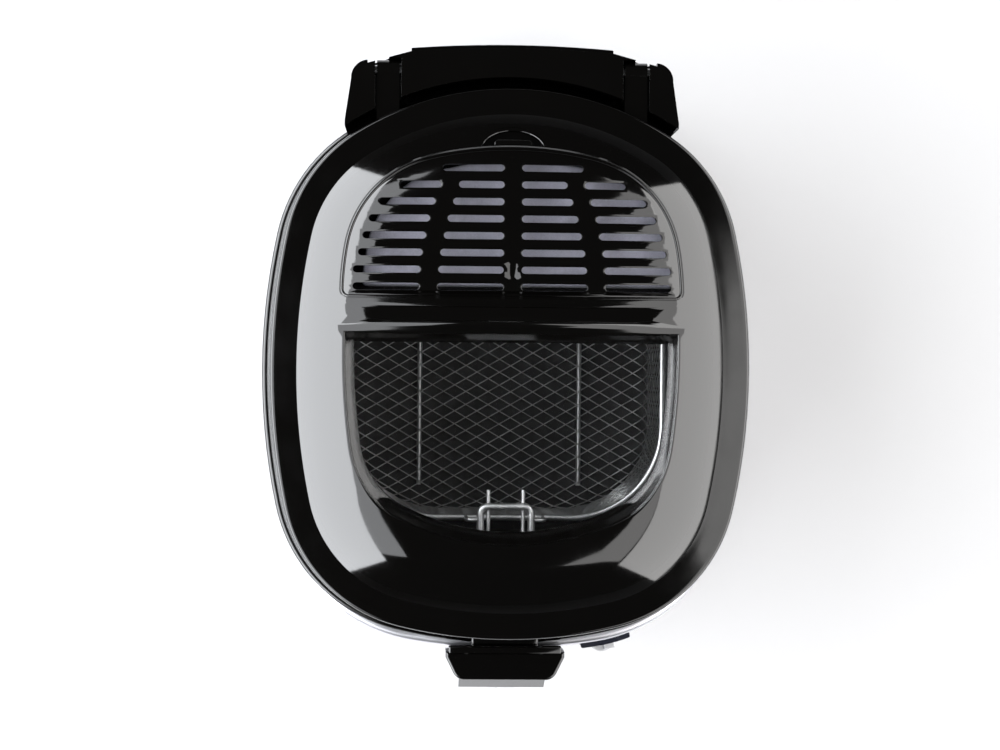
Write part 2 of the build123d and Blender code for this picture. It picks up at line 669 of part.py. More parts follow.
def capillary():
    """Thin tube from the bulb to the thermostat."""
    back, front = thermostat_back()
    y = BOWL_Y - BOWL_HALF_DEPTH - BULB_RADIUS
    inlet = CONTROL * Pos(0, (back + front) / 2, SLIDER_Z - THERMOSTAT_SIZE[2] / 2)
    end = inlet.position
    low = (BULB_Z + end.Z) / 2
    points = [
        (BULB_LENGTH / 2, y, BULB_Z),
        (end.X, y, BULB_Z),
        (end.X, end.Y, low),
        (end.X, end.Y, end.Z),
    ]
    path = FilletPolyline(points, radius=CAPILLARY_BEND)
    section = Plane(origin=path @ 0, z_dir=path % 0) * Circle(CAPILLARY_RADIUS)
    return sweep(section, path)


def thermostat():
    """Thermostat case behind the panel, open towards the slide."""
    width, _, height = THERMOSTAT_SIZE
    back, front = thermostat_back()
    low = SLIDER_Z - height / 2
    case = block(-width / 2, width / 2, front, back, low, low + height)
    wall = THERMOSTAT_WALL
    half = width / 2 - wall
    case -= block(-half, half, front - 1, back - wall, low + wall, low + height - wall)
    ear = block(-width / 2, width / 2, STEEL_WALL, front, low, low + wall)
    ear += block(-width / 2, width / 2, STEEL_WALL, front, low + height - wall, low + height)
    return (CONTROL * (case + ear)) & slab(body_plan(STEEL_WALL + SEAT_GAP), low - 1, low + height + 1)


def control_bezel():
    """Black panel that follows the curve of the body round the slide."""
    panel = slab(body_plan(-BEZEL_THICKNESS), BEZEL_BOTTOM, BEZEL_TOP)
    panel -= slab(body_plan(0), BEZEL_BOTTOM - 1, BEZEL_TOP + 1)
    half = BEZEL_WIDTH / 2
    panel &= CONTROL * block(-half, half, PANEL_FRONT, PANEL_BACK, BEZEL_BOTTOM, BEZEL_TOP)
    panel = fillet(panel.edges().filter_by(Axis.Z), BEZEL_CORNER)
    panel -= control_slot(0.0)
    panel -= CONTROL * rod_y(LENS_RADIUS + RUNNING, 0, PANEL_FRONT, PANEL_BACK, LENS_Z)
    return panel


def temperature_slider():
    """Silver thumb piece with a raised grip on its right, and the stem that carries it."""
    low = SLIDER_Z - SLIDER_HEIGHT / 2
    high = low + SLIDER_HEIGHT
    face = -BEZEL_THICKNESS - SEAT_GAP
    thumb = Pos(0, face, (low + high) / 2) * Cylinder(THUMB_RADIUS, SLIDER_HEIGHT)
    thumb &= block(-THUMB_RADIUS, THUMB_RADIUS, face - THUMB_RADIUS, face, low, high)
    thumb = fillet(thumb.edges().filter_by(GeomType.CIRCLE), THUMB_FILLET)
    grip_left = THUMB_RADIUS - GRIP_SIZE - GRIP_MARGIN
    grip_low, grip_high = high - GRIP_STAND, high + GRIP_STAND
    grip = block(grip_left, grip_left + GRIP_SIZE, face - GRIP_SIZE, face, grip_low, grip_high)
    grip = fillet(grip.edges().group_by(Axis.Z)[-1], GRIP_FILLET)
    half = STEM_WIDTH / 2
    stem_low = SLIDER_Z - STEM_HEIGHT / 2
    stem = block(-half, half, face, face + STEM_LENGTH, stem_low, stem_low + STEM_HEIGHT)
    return CONTROL * (thumb + grip + stem)


def pilot_lens():
    """Red lens of the pilot light, through the panel."""
    lens = rod_y(LENS_RADIUS, 0, -BEZEL_THICKNESS - LENS_STAND, STEEL_WALL, LENS_Z)
    return CONTROL * fillet(lens.edges().group_by(Axis.Y)[0], LENS_FILLET)


def pilot_lamp():
    """Neon lamp behind the lens."""
    return CONTROL * rod_y(LENS_RADIUS - LAMP_GAP, 0, STEEL_WALL, STEEL_WALL + LAMP_LENGTH, LENS_Z)


# ================================================================ rear housing and hinge
def housing_plan(inset):
    """Plan of the rear housing. Its middle, the cover, stands further back than its cheeks."""
    front_y = HOUSING_FRONT_Y - HOUSING_LAP
    side = HOUSING_FRONT_X - inset
    middle = MIDDLE_EDGE_Y - inset
    right = [
        Vector(side, front_y),
        Vector(side, HOUSING_FRONT_Y),
        Vector(HOUSING_SIDE_X - inset, HOUSING_SIDE_Y),
        Vector(CHEEK_X - inset, CHEEK_Y - inset),
        Vector(CHEEK_X - inset, CHEEK_Y - CHEEK_STEP - inset),
        Vector(COVER_HALF_WIDTH, middle),
    ]
    edges = [Edge.make_line(right[0], right[1]), Edge.make_line(right[1], right[2])]
    bend = (right[2] + right[3]) / 2 + Vector(HOUSING_CORNER_SWELL_X, HOUSING_CORNER_SWELL_Y)
    edges.append(Edge.make_three_point_arc(right[2], bend, right[3]))
    edges.append(Edge.make_line(right[3], right[4]))
    edges.append(Edge.make_line(right[4], right[5]))
    mirrored = [edge.mirror(Plane.YZ) for edge in edges]
    rear = Vector(0, REAR_LIMIT - COVER_STEP - inset)
    left_end = Vector(-right[5].X, right[5].Y)
    edges.append(Edge.make_three_point_arc(right[5], rear, left_end))
    edges.append(Edge.make_line(right[0], Vector(-right[0].X, right[0].Y)))
    return upward(edges + mirrored)


def arm_slots():
    """The two slots that the lid's arms swing in."""
    half = ARM_WIDTH / 2 + ARM_SLOT_GAP
    reach = ARM_RADIUS + ARM_SLOT_GAP
    low = HINGE_Z - reach
    cut = None
    for side in (-1, 1):
        x = side * ARM_X
        slot = block(x - half, x + half, HOUSING_FRONT_Y - ARM_ROOT, HINGE_Y, low, HOUSING_TOP + 1)
        slot += rod_x(reach, x - half, x + half, HINGE_Y, HINGE_Z)
        slot += block(x - half, x + half, HINGE_Y, HINGE_Y + reach, HINGE_Z, HOUSING_TOP + 1)
        cut = slot if cut is None else cut + slot
    return cut


def rear_housing():
    """Gloss housing behind the body: hinge tower above, wiring space below."""
    shell = slab(housing_plan(0), BODY_BOTTOM, HOUSING_TOP)
    inner = slab(housing_plan(HOUSING_WALL), BODY_BOTTOM + HOUSING_WALL, RIM_TOP)
    shell -= inner
    shell -= slab(body_plan(-SEAT_GAP), BODY_BOTTOM - 1, BODY_TOP + 0.1)
    shell -= slab(outline(-SEAT_GAP), BODY_TOP - SEAT_GAP, RIM_TOP + SEAT_GAP)
    shell -= slab(outline(LID_INSET - LID_GAP), RIM_TOP, HOUSING_TOP + 1)
    shell -= arm_slots()
    for side in (-1, 1):
        x = side * ARM_X
        half = ARM_WIDTH / 2 + ARM_SLOT_GAP + HINGE_WALL
        shell -= rod_x(HINGE_PIN_RADIUS, x - half, x + half, HINGE_Y, HINGE_Z)
    opening = COVER_HALF_WIDTH - COVER_LAP
    low, high = BODY_BOTTOM + COVER_BORDER, RIM_TOP - COVER_BORDER
    shell -= block(-opening, opening, HINGE_Y, REAR_LIMIT, low, high)
    for z in cover_screw_heights():
        shell -= rod_y(COVER_SCREW_RADIUS, 0, HINGE_Y - COVER_SCREW_HOLE, REAR_LIMIT + 1, z)
    shell -= rod_y(GLAND_RADIUS, GLAND_X, HOUSING_FRONT_Y, REAR_LIMIT + 1, GLAND_Z)
    return shell


def cover_screw_heights():
    """Heights of the two screws through the rear cover."""
    return BODY_BOTTOM + COVER_SCREW_MARGIN, RIM_TOP - COVER_SCREW_MARGIN


def rear_cover():
    """Cover over the wiring space, standing proud of the housing's middle."""
    outer = slab(cover_plan(0), BODY_BOTTOM, HOUSING_TOP - COVER_THICKNESS)
    outer -= slab(cover_plan(COVER_STEP), BODY_BOTTOM - 1, HOUSING_TOP)
    outer = fillet(outer.edges().filter_by(Axis.Z).group_by(Axis.Y)[-1], COVER_FILLET)
    for z in cover_screw_heights():
        outer -= rod_y(COVER_SCREW_RADIUS + FIT_GAP, 0, HINGE_Y, REAR_LIMIT + 1, z)
    outer -= rod_y(GLAND_RADIUS + FIT_GAP, GLAND_X, HOUSING_FRONT_Y, REAR_LIMIT + 1, GLAND_Z)
    return outer


def cover_plan(depth):
    """Plan of the rear cover's outer face, moved forwards by depth."""
    left = Vector(-COVER_HALF_WIDTH, MIDDLE_EDGE_Y + COVER_STEP - depth)
    right = Vector(COVER_HALF_WIDTH, MIDDLE_EDGE_Y + COVER_STEP - depth)
    rear = Vector(0, REAR_LIMIT - depth)
    low_left = Vector(left.X, HINGE_Y)
    low_right = Vector(right.X, HINGE_Y)
    edges = [Edge.make_three_point_arc(left, rear, right), Edge.make_line(right, low_right)]
    edges += [Edge.make_line(low_right, low_left), Edge.make_line(low_left, left)]
    return upward(edges)


def cover_screws():
    """Two screws that hold the rear cover, their heads sunk in it."""
    result = []
    seat = REAR_LIMIT - COVER_STEP
    for z in cover_screw_heights():
        shank = rod_y(COVER_SCREW_RADIUS, 0, seat - COVER_SCREW_LENGTH, seat, z)
        head = rod_y(COVER_SCREW_HEAD, 0, seat, REAR_LIMIT - COVER_SCREW_SINK, z)
        result.append(shank + head)
    return Compound(result)


def cord_gland():
    """Bushing that the mains lead would pass through."""
    outer = REAR_LIMIT - GLAND_SINK
    bush = rod_y(GLAND_RADIUS, GLAND_X, outer - GLAND_LENGTH, outer, GLAND_Z)
    return bush - rod_y(GLAND_BORE, GLAND_X, outer - GLAND_LENGTH - 1, outer + 1, GLAND_Z)


def terminal_block():
    """Terminal block on the housing floor, with its three screws' wells."""
    width, depth, height = TERMINAL_BLOCK_SIZE
    floor = BODY_BOTTOM + HOUSING_WALL
    rear = HOUSING_SIDE_Y + TERMINAL_BLOCK_SETBACK
    top = floor + height
    centre = -GLAND_X
    body = block(centre - width / 2, centre + width / 2, rear - depth, rear, floor, top)
    for offset in (-TERMINAL_WELL_PITCH, 0, TERMINAL_WELL_PITCH):
        x = centre + offset
        body -= rod_z(TERMINAL_WELL_RADIUS, x, rear - depth / 2, top - TERMINAL_WELL_DEPTH, top + 1)
    return body


def hinge_pins():
    """Two short pins across the arm slots, tight in the housing."""
    half = ARM_WIDTH / 2 + ARM_SLOT_GAP + HINGE_WALL
    pins = [rod_x(HINGE_PIN_RADIUS, x - half, x + half, HINGE_Y, HINGE_Z) for x in (-ARM_X, ARM_X)]
    return Compound(pins)


# ================================================================ lid
def lid_form(shrink, drop):
    """Outer form of the lid, with its walls moved in by shrink and its top down by drop."""
    base = LID_INSET + shrink
    band = base + LID_DRAFT
    start = LID_BOTTOM if drop == 0 else LID_BOTTOM - 1
    form = loft([Pos(0, 0, start) * outline(base), Pos(0, 0, LID_BAND_Z - drop) * outline(band)], ruled=True)
    if drop == 0:
        form = fillet(form.edges().group_by(Axis.Z)[-1], LID_EDGE_FILLET)
    levels = [(LID_INSET + LID_DRAFT + BAND_ROUND, LID_BAND_Z)]
    levels += [(inset, LID_BAND_Z + rise) for inset, rise in CROWN]
    for (inset_a, z_a), (inset_b, z_b) in zip(levels, levels[1:]):
        low = Pos(0, 0, z_a - drop) * outline(inset_a + shrink * 0.5)
        high = Pos(0, 0, z_b - drop) * outline(inset_b + shrink * 0.5)
        form += loft([low, high], ruled=True)
    return form


def notch():
    """Room in the lid's front wall for the basket's yoke, from the worktop side up."""
    front = HOOD_REAR_Y - FRONT_OVERHANG
    return block(-NOTCH_HALF_WIDTH, NOTCH_HALF_WIDTH, front, WINDOW_TOP_Y - WINDOW_REACH, 0, NOTCH_TOP)


def lid_shell(outer):
    """Gloss lid: drafted wall, flat band, crowned top, bevelled window frame and filter well."""
    frame_low = WINDOW_LEDGE_Z - WINDOW_LEDGE
    shell = outer - lid_form(LID_WALL, LID_WALL)
    shell += slab(window_plan(WINDOW_BEVEL + FRAME_WALL), frame_low, TOTAL_HEIGHT) & outer
    shell += slab(filter_plan(FILTER_GAP + FILTER_WALL), FILTER_FLOOR_Z, TOTAL_HEIGHT) & outer
    rise = TOTAL_HEIGHT - WINDOW_LEDGE_Z
    steep = WINDOW_BEVEL * (rise + 1) / rise
    bevel = loft(
        [Pos(0, 0, WINDOW_LEDGE_Z) * window_plan(0.01), Pos(0, 0, TOTAL_HEIGHT + 1) * window_plan(steep)],
        ruled=True,
    )
    shell -= bevel
    shell -= slab(window_plan(0), frame_low - 1, TOTAL_HEIGHT)
    shell -= slab(filter_plan(FILTER_GAP), FILTER_FLOOR_Z - 1, TOTAL_HEIGHT + 1)
    shell += tab_recess(FILTER_WALL, TOTAL_HEIGHT) & outer - filter_well()
    shell -= tab_recess(0, TOTAL_HEIGHT + 1)
    shell -= notch()
    for x, y in LID_SCREW_PLACES:
        boss = rod_z(LID_SCREW_HEAD, x, y, LINER_TOP, LID_BAND_Z + LID_BOSS_RISE)
        shell += boss & outer
        shell -= rod_z(LID_SCREW_RADIUS, x, y, LINER_TOP - 1, LINER_TOP + LID_SCREW_LENGTH)
    return shell


def filter_well():
    """Everything inside the filter well's wall."""
    return slab(filter_plan(FILTER_GAP), FILTER_FLOOR_Z - 1, TOTAL_HEIGHT + 1)


def tab_recess(wall, top):
    """Half-moon finger recess behind the filter cover, with its wall if wall is set."""
    rear = FILTER_FRONT_Y + FILTER_REACH
    low = TOTAL_HEIGHT - TAB_RECESS_DEPTH - wall
    stretch = TAB_RECESS_REACH / TAB_RECESS_RADIUS
    moon = scale(Circle(TAB_RECESS_RADIUS + wall), by=(1, stretch, 1))
    moon = Pos(0, rear) * moon
    return slab(moon, low, top) - slab(filter_plan(0), low - 1, top + 1)


def window_pane():
    """Clear pane under the window ledge."""
    top = WINDOW_LEDGE_Z - WINDOW_LEDGE - GASKET_THICKNESS
    return slab(window_plan(PANE_OVERLAP), top - PANE_THICKNESS, top)


def window_gasket():
    """Soft ring between the pane and the ledge."""
    low = WINDOW_LEDGE_Z - WINDOW_LEDGE - GASKET_THICKNESS
    ring = slab(window_plan(PANE_OVERLAP), low, low + GASKET_THICKNESS)
    return ring - slab(window_plan(GASKET_SETBACK), low - 1, low + GASKET_THICKNESS + 1)


def slot_field(z0, z1):
    """All the rounded slots of the filter cover as solids, kept clear of its edge."""
    field = filter_plan(-SLOT_MARGIN)
    slots = []
    for row, (inner, outer) in enumerate(zip(INNER_SLOTS, OUTER_SLOTS)):
        y = SLOT_ROW_Y + row * SLOT_PITCH
        for side in (-1, 1):
            spans = [(side * (SLOT_BAR / 2 + inner / 2), inner)]
            if outer > 0:
                spans.append((side * (SLOT_BAR * 1.5 + inner + outer / 2), outer))
            for centre, length in spans:
                opening = Pos(centre, y) * SlotOverall(length, SLOT_HEIGHT) & field
                slots += [slab(face, z0, z1) for face in opening.faces()]
    return slots


def filter_cover(outer):
    """Slotted cover flush with the lid's crown, with a finger tab at its rear."""
    low = LID_BAND_Z + CROWN[0][1]
    cover = slab(filter_plan(0), low, TOTAL_HEIGHT) & outer
    cover -= Pos(0, 0, -COVER_WALL) * outer
    for slot in slot_field(low, TOTAL_HEIGHT + 1):
        cover -= slot
    rear = FILTER_FRONT_Y + FILTER_REACH
    top = TOTAL_HEIGHT - TAB_DROP
    tab = block(-TAB_HALF_WIDTH, TAB_HALF_WIDTH, rear - TAB_ROOT, rear + TAB_REACH, top - TAB_THICKNESS, top)
    return cover + (tab & outer)


def filter_tray():
    """Floor of the filter well, with steam holes."""
    low, high = FILTER_FLOOR_Z - FILTER_FLOOR, FILTER_FLOOR_Z
    tray = slab(filter_plan(FILTER_GAP + FILTER_WALL), low, high)
    for row in range(TRAY_VENT_ROWS):
        y = SLOT_ROW_Y + SLOT_PITCH * (2 * row + 0.5)
        for i in range(-4 + row // 2, 5 - row // 2):
            tray -= rod_z(LINER_VENT_RADIUS, i * TRAY_VENT_PITCH, y, low - 1, high + 1)
    return tray


def charcoal_filter():
    """Charcoal mat in the bottom of the filter well."""
    low = FILTER_FLOOR_Z + SEAT_GAP
    return slab(filter_plan(-SEAT_GAP * MAT_GAPS), low, low + CHARCOAL_HEIGHT)


def fleece_filter():
    """Fleece mat under the slotted cover, lying a little to the right in its well."""
    low = FILTER_FLOOR_Z + CHARCOAL_HEIGHT + 2 * SEAT_GAP
    mat = slab(filter_plan(-FLEECE_INSET), low, low + FLEECE_HEIGHT)
    return Pos(FLEECE_SHIFT, 0, 0) * mat


def lid_liner():
    """Inner pan of the lid, open under the window, slotted for the yoke and drilled for steam."""
    inset = LID_INSET + LINER_INSET
    liner = slab(outline(inset), LINER_BOTTOM, LINER_TOP)
    liner -= slab(outline(inset + LINER_WALL), LINER_BOTTOM - 1, LINER_TOP - LINER_WALL)
    liner -= slab(window_plan(WINDOW_BEVEL), LINER_BOTTOM, LINER_TOP + 1)
    liner -= notch()
    under = LINER_TOP - LINER_WALL - 1
    for row in range(LINER_VENT_ROWS):
        y = SLOT_ROW_Y + SLOT_PITCH * (2 * row + 1)
        for i in range(-4, 5):
            liner -= rod_z(LINER_VENT_RADIUS, i * LINER_VENT_PITCH, y, under, LINER_TOP + 1)
    for x, y in LID_SCREW_PLACES:
        liner -= rod_z(LID_SCREW_RADIUS + FIT_GAP, x, y, under, LINER_TOP + 1)
    return liner


def lid_seal():
    """Silicone lip on the liner's lower edge, which meets the rim when the lid is shut."""
    inset = LID_INSET + LINER_INSET
    ring = slab(outline(inset - (SEAL_WALL - LINER_WALL) / 2), RIM_TOP + SEAT_GAP, LINER_BOTTOM)
    ring -= slab(outline(inset + (SEAL_WALL + LINER_WALL) / 2), RIM_TOP, LINER_BOTTOM + 1)
    return ring - notch()


def lid_screws():
    """Four screws that hold the liner to the lid."""
    result = []
    for x, y in LID_SCREW_PLACES:
        under = LINER_TOP - LINER_WALL
        head = rod_z(LID_SCREW_HEAD, x, y, under - SCREW_HEAD_DEPTH, under)
        result.append(head + rod_z(LID_SCREW_RADIUS, x, y, under, under + LID_SCREW_LENGTH))
    return Compound(result)


def hinge_arms(outer):
    """Two arms on the lid's rear wall that reach into the housing to the hinge pins."""
    result = []
    for x in (-ARM_X, ARM_X):
        half = ARM_WIDTH / 2
        arm = rod_x(ARM_RADIUS, x - half, x + half, HINGE_Y, HINGE_Z)
        neck = ARM_RADIUS - ARM_NECK
        root = HOUSING_FRONT_Y - ARM_ROOT
        arm += block(x - half, x + half, root, HINGE_Y, HINGE_Z - neck, HINGE_Z + neck)
        arm -= outer
        arm -= rod_x(HINGE_PIN_RADIUS + RUNNING, x - half - 1, x + half + 1, HINGE_Y, HINGE_Z)
        result.append(arm.solids().sort_by(Axis.Y)[-1])
    return Compound(result)


# ================================================================ basket and handle
def basket_mesh():
    """Woven wire basket, kept as one thin wall with its mouth open."""
    basket = slab(basket_plan(0), BASKET_FLOOR_Z, BASKET_RIM_Z)
    basket = fillet(basket.edges().group_by(Axis.Z)[0], BASKET_FLOOR_FILLET)
    hollow = slab(basket_plan(-BASKET_WALL), BASKET_FLOOR_Z + BASKET_WALL, BASKET_RIM_Z + 1)
    hollow = fillet(hollow.edges().group_by(Axis.Z)[0], BASKET_FLOOR_FILLET - BASKET_WALL)
    return basket - hollow


def basket_rim():
    """Round wire that the mesh is folded over, standing on the wall's top edge."""
    middle = basket_plan(-BASKET_WALL / 2)
    path = middle.faces()[0].outer_wire()
    path = Pos(0, 0, BASKET_RIM_Z + RIM_WIRE) * path
    section = Plane(origin=path @ 0, z_dir=path % 0) * Circle(RIM_WIRE)
    return sweep(section, path)


def basket_feet():
    """Two straight wires across the underside that hold the mesh off the bowl floor."""
    z = BASKET_FLOOR_Z - FOOT_WIRE
    reach = BASKET_HALF_DEPTH - BASKET_FLOOR_FILLET - FOOT_WIRE_MARGIN
    front, rear = BOWL_Y - reach, BOWL_Y + reach
    return Compound([rod_y(FOOT_WIRE, x, front, rear, z) for x in (-FOOT_WIRE_X, FOOT_WIRE_X)])


def bent_wire(points, radius, wire):
    """A round wire along straight runs with rounded corners."""
    path = FilletPolyline(points, radius=radius)
    section = Plane(origin=path @ 0, z_dir=path % 0) * Circle(wire)
    return sweep(section, path)


def yoke():
    """U-shaped wire from the handle bracket to over the basket's front wall."""
    front = HOOD_REAR_Y - HOOD_WALL
    x = YOKE_HALF_WIDTH
    points = [(-x, front, YOKE_Z), (-x, YOKE_REAR_Y, YOKE_Z), (x, YOKE_REAR_Y, YOKE_Z), (x, front, YOKE_Z)]
    return bent_wire(points, YOKE_BEND, YOKE_WIRE)


def yoke_rods():
    """Two thinner rods over the yoke's crossbar, cut free at their rear ends."""
    front = HOOD_REAR_Y - HOOD_WALL
    z = YOKE_Z - YOKE_WIRE - ROD_WIRE
    return Compound([rod_y(ROD_WIRE, x, front, ROD_END_Y, z) for x in (-ROD_X, ROD_X)])


def basket_clips():
    """Two bent wires that tie the yoke down to the basket's rim."""
    wall_y = BOWL_Y - BASKET_HALF_DEPTH + BASKET_WALL / 2
    low = BASKET_RIM_Z + 2 * RIM_WIRE
    result = []
    for side in (-1, 1):
        x = side * CLIP_X
        inner = side * (YOKE_HALF_WIDTH + YOKE_WIRE)
        points = [
            (x, wall_y, low),
            (x, wall_y, YOKE_Z - CLIP_WIRE),
            (inner, wall_y, YOKE_Z - CLIP_WIRE),
        ]
        result.append(bent_wire(points, CLIP_BEND, CLIP_WIRE))
    return Compound(result)


def hood_plan():
    """Plan of the bracket's hood: wide at the lid, narrower and rounded at the front."""
    points = [
        (-HOOD_HALF_WIDTH, HOOD_REAR_Y),
        (HOOD_HALF_WIDTH, HOOD_REAR_Y),
        (HOOD_HALF_WIDTH, HOOD_REAR_Y - HOOD_WALL),
        (HOOD_FRONT_HALF, HOOD_FRONT_Y),
        (-HOOD_FRONT_HALF, HOOD_FRONT_Y),
        (-HOOD_HALF_WIDTH, HOOD_REAR_Y - HOOD_WALL),
    ]
    plan = make_face(Polyline(points, close=True))
    front_corners = plan.vertices().group_by(Axis.Y)[0]
    return fillet(front_corners, HOOD_CORNER)


def handle_bracket():
    """Hood that joins the yoke to the handle and carries its pin."""
    hood = slab(hood_plan(), HOOD_BOTTOM, HOOD_TOP)
    hood = fillet(hood.edges().group_by(Axis.Z)[-1], HOOD_FILLET)
    wall = HOOD_REAR_Y - HOOD_WALL
    inside = GRIP_HALF_WIDTH + FIT_GAP
    outside = HOOD_HALF_WIDTH + 1
    hood -= block(-inside, inside, HOOD_FRONT_Y - 1, wall, HOOD_BOTTOM - 1, HOOD_TOP - HOOD_WALL)
    hood -= block(-outside, outside, wall, HOOD_REAR_Y + 1, 0, HOOD_REAR_BOTTOM)
    hood -= rod_x(HANDLE_PIN_RADIUS, -HOOD_HALF_WIDTH, HOOD_HALF_WIDTH, HANDLE_PIN_Y, HANDLE_PIN_Z)
    for x in (-YOKE_HALF_WIDTH, YOKE_HALF_WIDTH):
        hood -= rod_y(YOKE_WIRE, x, wall, HOOD_REAR_Y + 1, YOKE_Z)
    for x in (-ROD_X, ROD_X):
        hood -= rod_y(ROD_WIRE, x, wall, HOOD_REAR_Y + 1, YOKE_Z - YOKE_WIRE - ROD_WIRE)
    return hood


def handle_pin():
    """Steel pin that the handle folds about, tight in the hood's cheeks."""
    half = GRIP_HALF_WIDTH + HOOD_WALL
    return rod_x(HANDLE_PIN_RADIUS, -half, half, HANDLE_PIN_Y, HANDLE_PIN_Z)


def grip_form(shrink):
    """The folded handle's form from the side, swelling towards its lower end."""
    rear = HANDLE_PIN_Y + GRIP_HEAD_RADIUS - shrink
    top_front = HANDLE_PIN_Y - GRIP_HEAD_RADIUS + shrink
    front = GRIP_FRONT_Y + shrink
    low = HANDLE_PIN_Z - GRIP_LENGTH + shrink
    corners = [
        (0, rear, low),
        (0, rear, HANDLE_PIN_Z),
        (0, top_front, HANDLE_PIN_Z),
        (0, top_front, HANDLE_PIN_Z - GRIP_SWELL_TOP),
        (0, front, HANDLE_PIN_Z - GRIP_SWELL_FULL),
        (0, front, HANDLE_PIN_Z - GRIP_TAPER_FROM),
        (0, top_front, low),
    ]
    edges = [Edge.make_line(start, end) for start, end in zip(corners, corners[1:] + corners[:1])]
    side = Face(Wire(edges))
    half = GRIP_HALF_WIDTH - shrink
    form = extrude(Pos(-half, 0, 0) * side, amount=2 * half, dir=(1, 0, 0))
    head = rod_x(GRIP_HEAD_RADIUS - shrink, -half, half, HANDLE_PIN_Y, HANDLE_PIN_Z)
    return form + head


def rounded_grip():
    """The handle's outer form with its lower corners rounded."""
    form = grip_form(0)
    return fillet(form.edges().filter_by(Axis.Y).group_by(Axis.Z)[0], GRIP_CORNER)


def handle_outer_shell():
    """Hollow front shell of the handle, with a solid head on the pin and the button's hole."""
    form = rounded_grip()
    shell = form - grip_cavity()
    shell -= block(-ACROSS, ACROSS, GRIP_SPLIT_Y, 0, 0, HANDLE_PIN_Z - GRIP_HEAD_LENGTH)
    shell -= rod_x(HANDLE_PIN_RADIUS + RUNNING, -ACROSS, ACROSS, HANDLE_PIN_Y, HANDLE_PIN_Z)
    shell -= button_form(BUTTON_GAP, GRIP_FRONT_Y - GRIP_WALL, GRIP_FRONT_Y + 2 * GRIP_WALL)
    for drop in GRIP_SCREW_DROPS:
        z = HANDLE_PIN_Z - drop
        shell += rod_y(GRIP_SCREW_HEAD, 0, GRIP_FRONT_Y + GRIP_BOSS_SETBACK, GRIP_SPLIT_Y, z) & form
        shell -= rod_y(GRIP_SCREW_RADIUS, 0, GRIP_SPLIT_Y - GRIP_SCREW_REACH, GRIP_SPLIT_Y + 1, z)
    return shell


def grip_cavity():
    """The hollow inside the handle, below its solid head."""
    cavity = grip_form(GRIP_WALL)
    neck = HANDLE_PIN_Z - GRIP_HEAD_LENGTH
    return cavity - block(-ACROSS, ACROSS, GRIP_FRONT_Y, HOOD_REAR_Y, neck, HANDLE_PIN_Z + GRIP_HEAD_LENGTH)


def handle_inner_shell():
    """Flat rear plate that closes the handle."""
    face = HANDLE_PIN_Y + GRIP_HEAD_RADIUS
    plate = rounded_grip() & block(-ACROSS, ACROSS, GRIP_SPLIT_Y, 0, 0, HANDLE_PIN_Z - GRIP_HEAD_LENGTH)
    for drop in GRIP_SCREW_DROPS:
        z = HANDLE_PIN_Z - drop
        plate -= rod_y(GRIP_SCREW_RADIUS + GRIP_HOLE_GAP, 0, GRIP_SPLIT_Y - 1, 0, z)
        plate -= rod_y(GRIP_SCREW_HEAD + GRIP_HOLE_GAP, 0, face - SCREW_HEAD_DEPTH, 0, z)
    return plate


def handle_screws():
    """Two screws through the rear plate into the handle's bosses."""
    face = HANDLE_PIN_Y + GRIP_HEAD_RADIUS
    result = []
    for drop in GRIP_SCREW_DROPS:
        z = HANDLE_PIN_Z - drop
        shank = rod_y(GRIP_SCREW_RADIUS, 0, GRIP_SPLIT_Y - GRIP_SCREW_REACH, face - SCREW_HEAD_DEPTH, z)
        head = rod_y(GRIP_SCREW_HEAD, 0, face - SCREW_HEAD_DEPTH, face, z)
        result.append(shank + head)
    return Compound(result)


def button_form(grow, y0, y1):
    """Rounded bar of the handle's button, moved out by grow."""
    z = HANDLE_PIN_Z - BUTTON_DROP
    plan = RectangleRounded(2 * (BUTTON_HALF_WIDTH + grow), BUTTON_HEIGHT + 2 * grow, BUTTON_CORNER + grow)
    bar = extrude(plan, amount=y1 - y0)
    return Pos(0, y1, z) * Rot(90, 0, 0) * bar


def handle_button():
    """Silver push button on the handle's face, with a skirt that keeps it in its hole."""
    cap = button_form(0, GRIP_FRONT_Y - BUTTON_STAND, GRIP_FRONT_Y + GRIP_WALL + SEAT_GAP)
    cap = fillet(cap.edges().group_by(Axis.Y)[0], BUTTON_FILLET)
    skirt_front = GRIP_FRONT_Y + GRIP_WALL + SEAT_GAP
    skirt = button_form(BUTTON_SKIRT, skirt_front, skirt_front + BUTTON_SKIRT_THICKNESS)
    return cap + skirt


def button_spring():
    """Coil spring between the button and the handle's rear plate."""
    front = GRIP_FRONT_Y + GRIP_WALL + SEAT_GAP + BUTTON_SKIRT_THICKNESS + SPRING_WIRE
    length = GRIP_SPLIT_Y - SPRING_WIRE - front
    helix = Helix(length / SPRING_TURNS, length, SPRING_RADIUS)
    section = Plane(origin=helix @ 0, z_dir=helix % 0) * Circle(SPRING_WIRE)
    coil = sweep(section, helix, is_frenet=True)
    return Pos(0, GRIP_SPLIT_Y - SPRING_WIRE, HANDLE_PIN_Z - BUTTON_DROP) * Rot(90, 0, 0) * coil


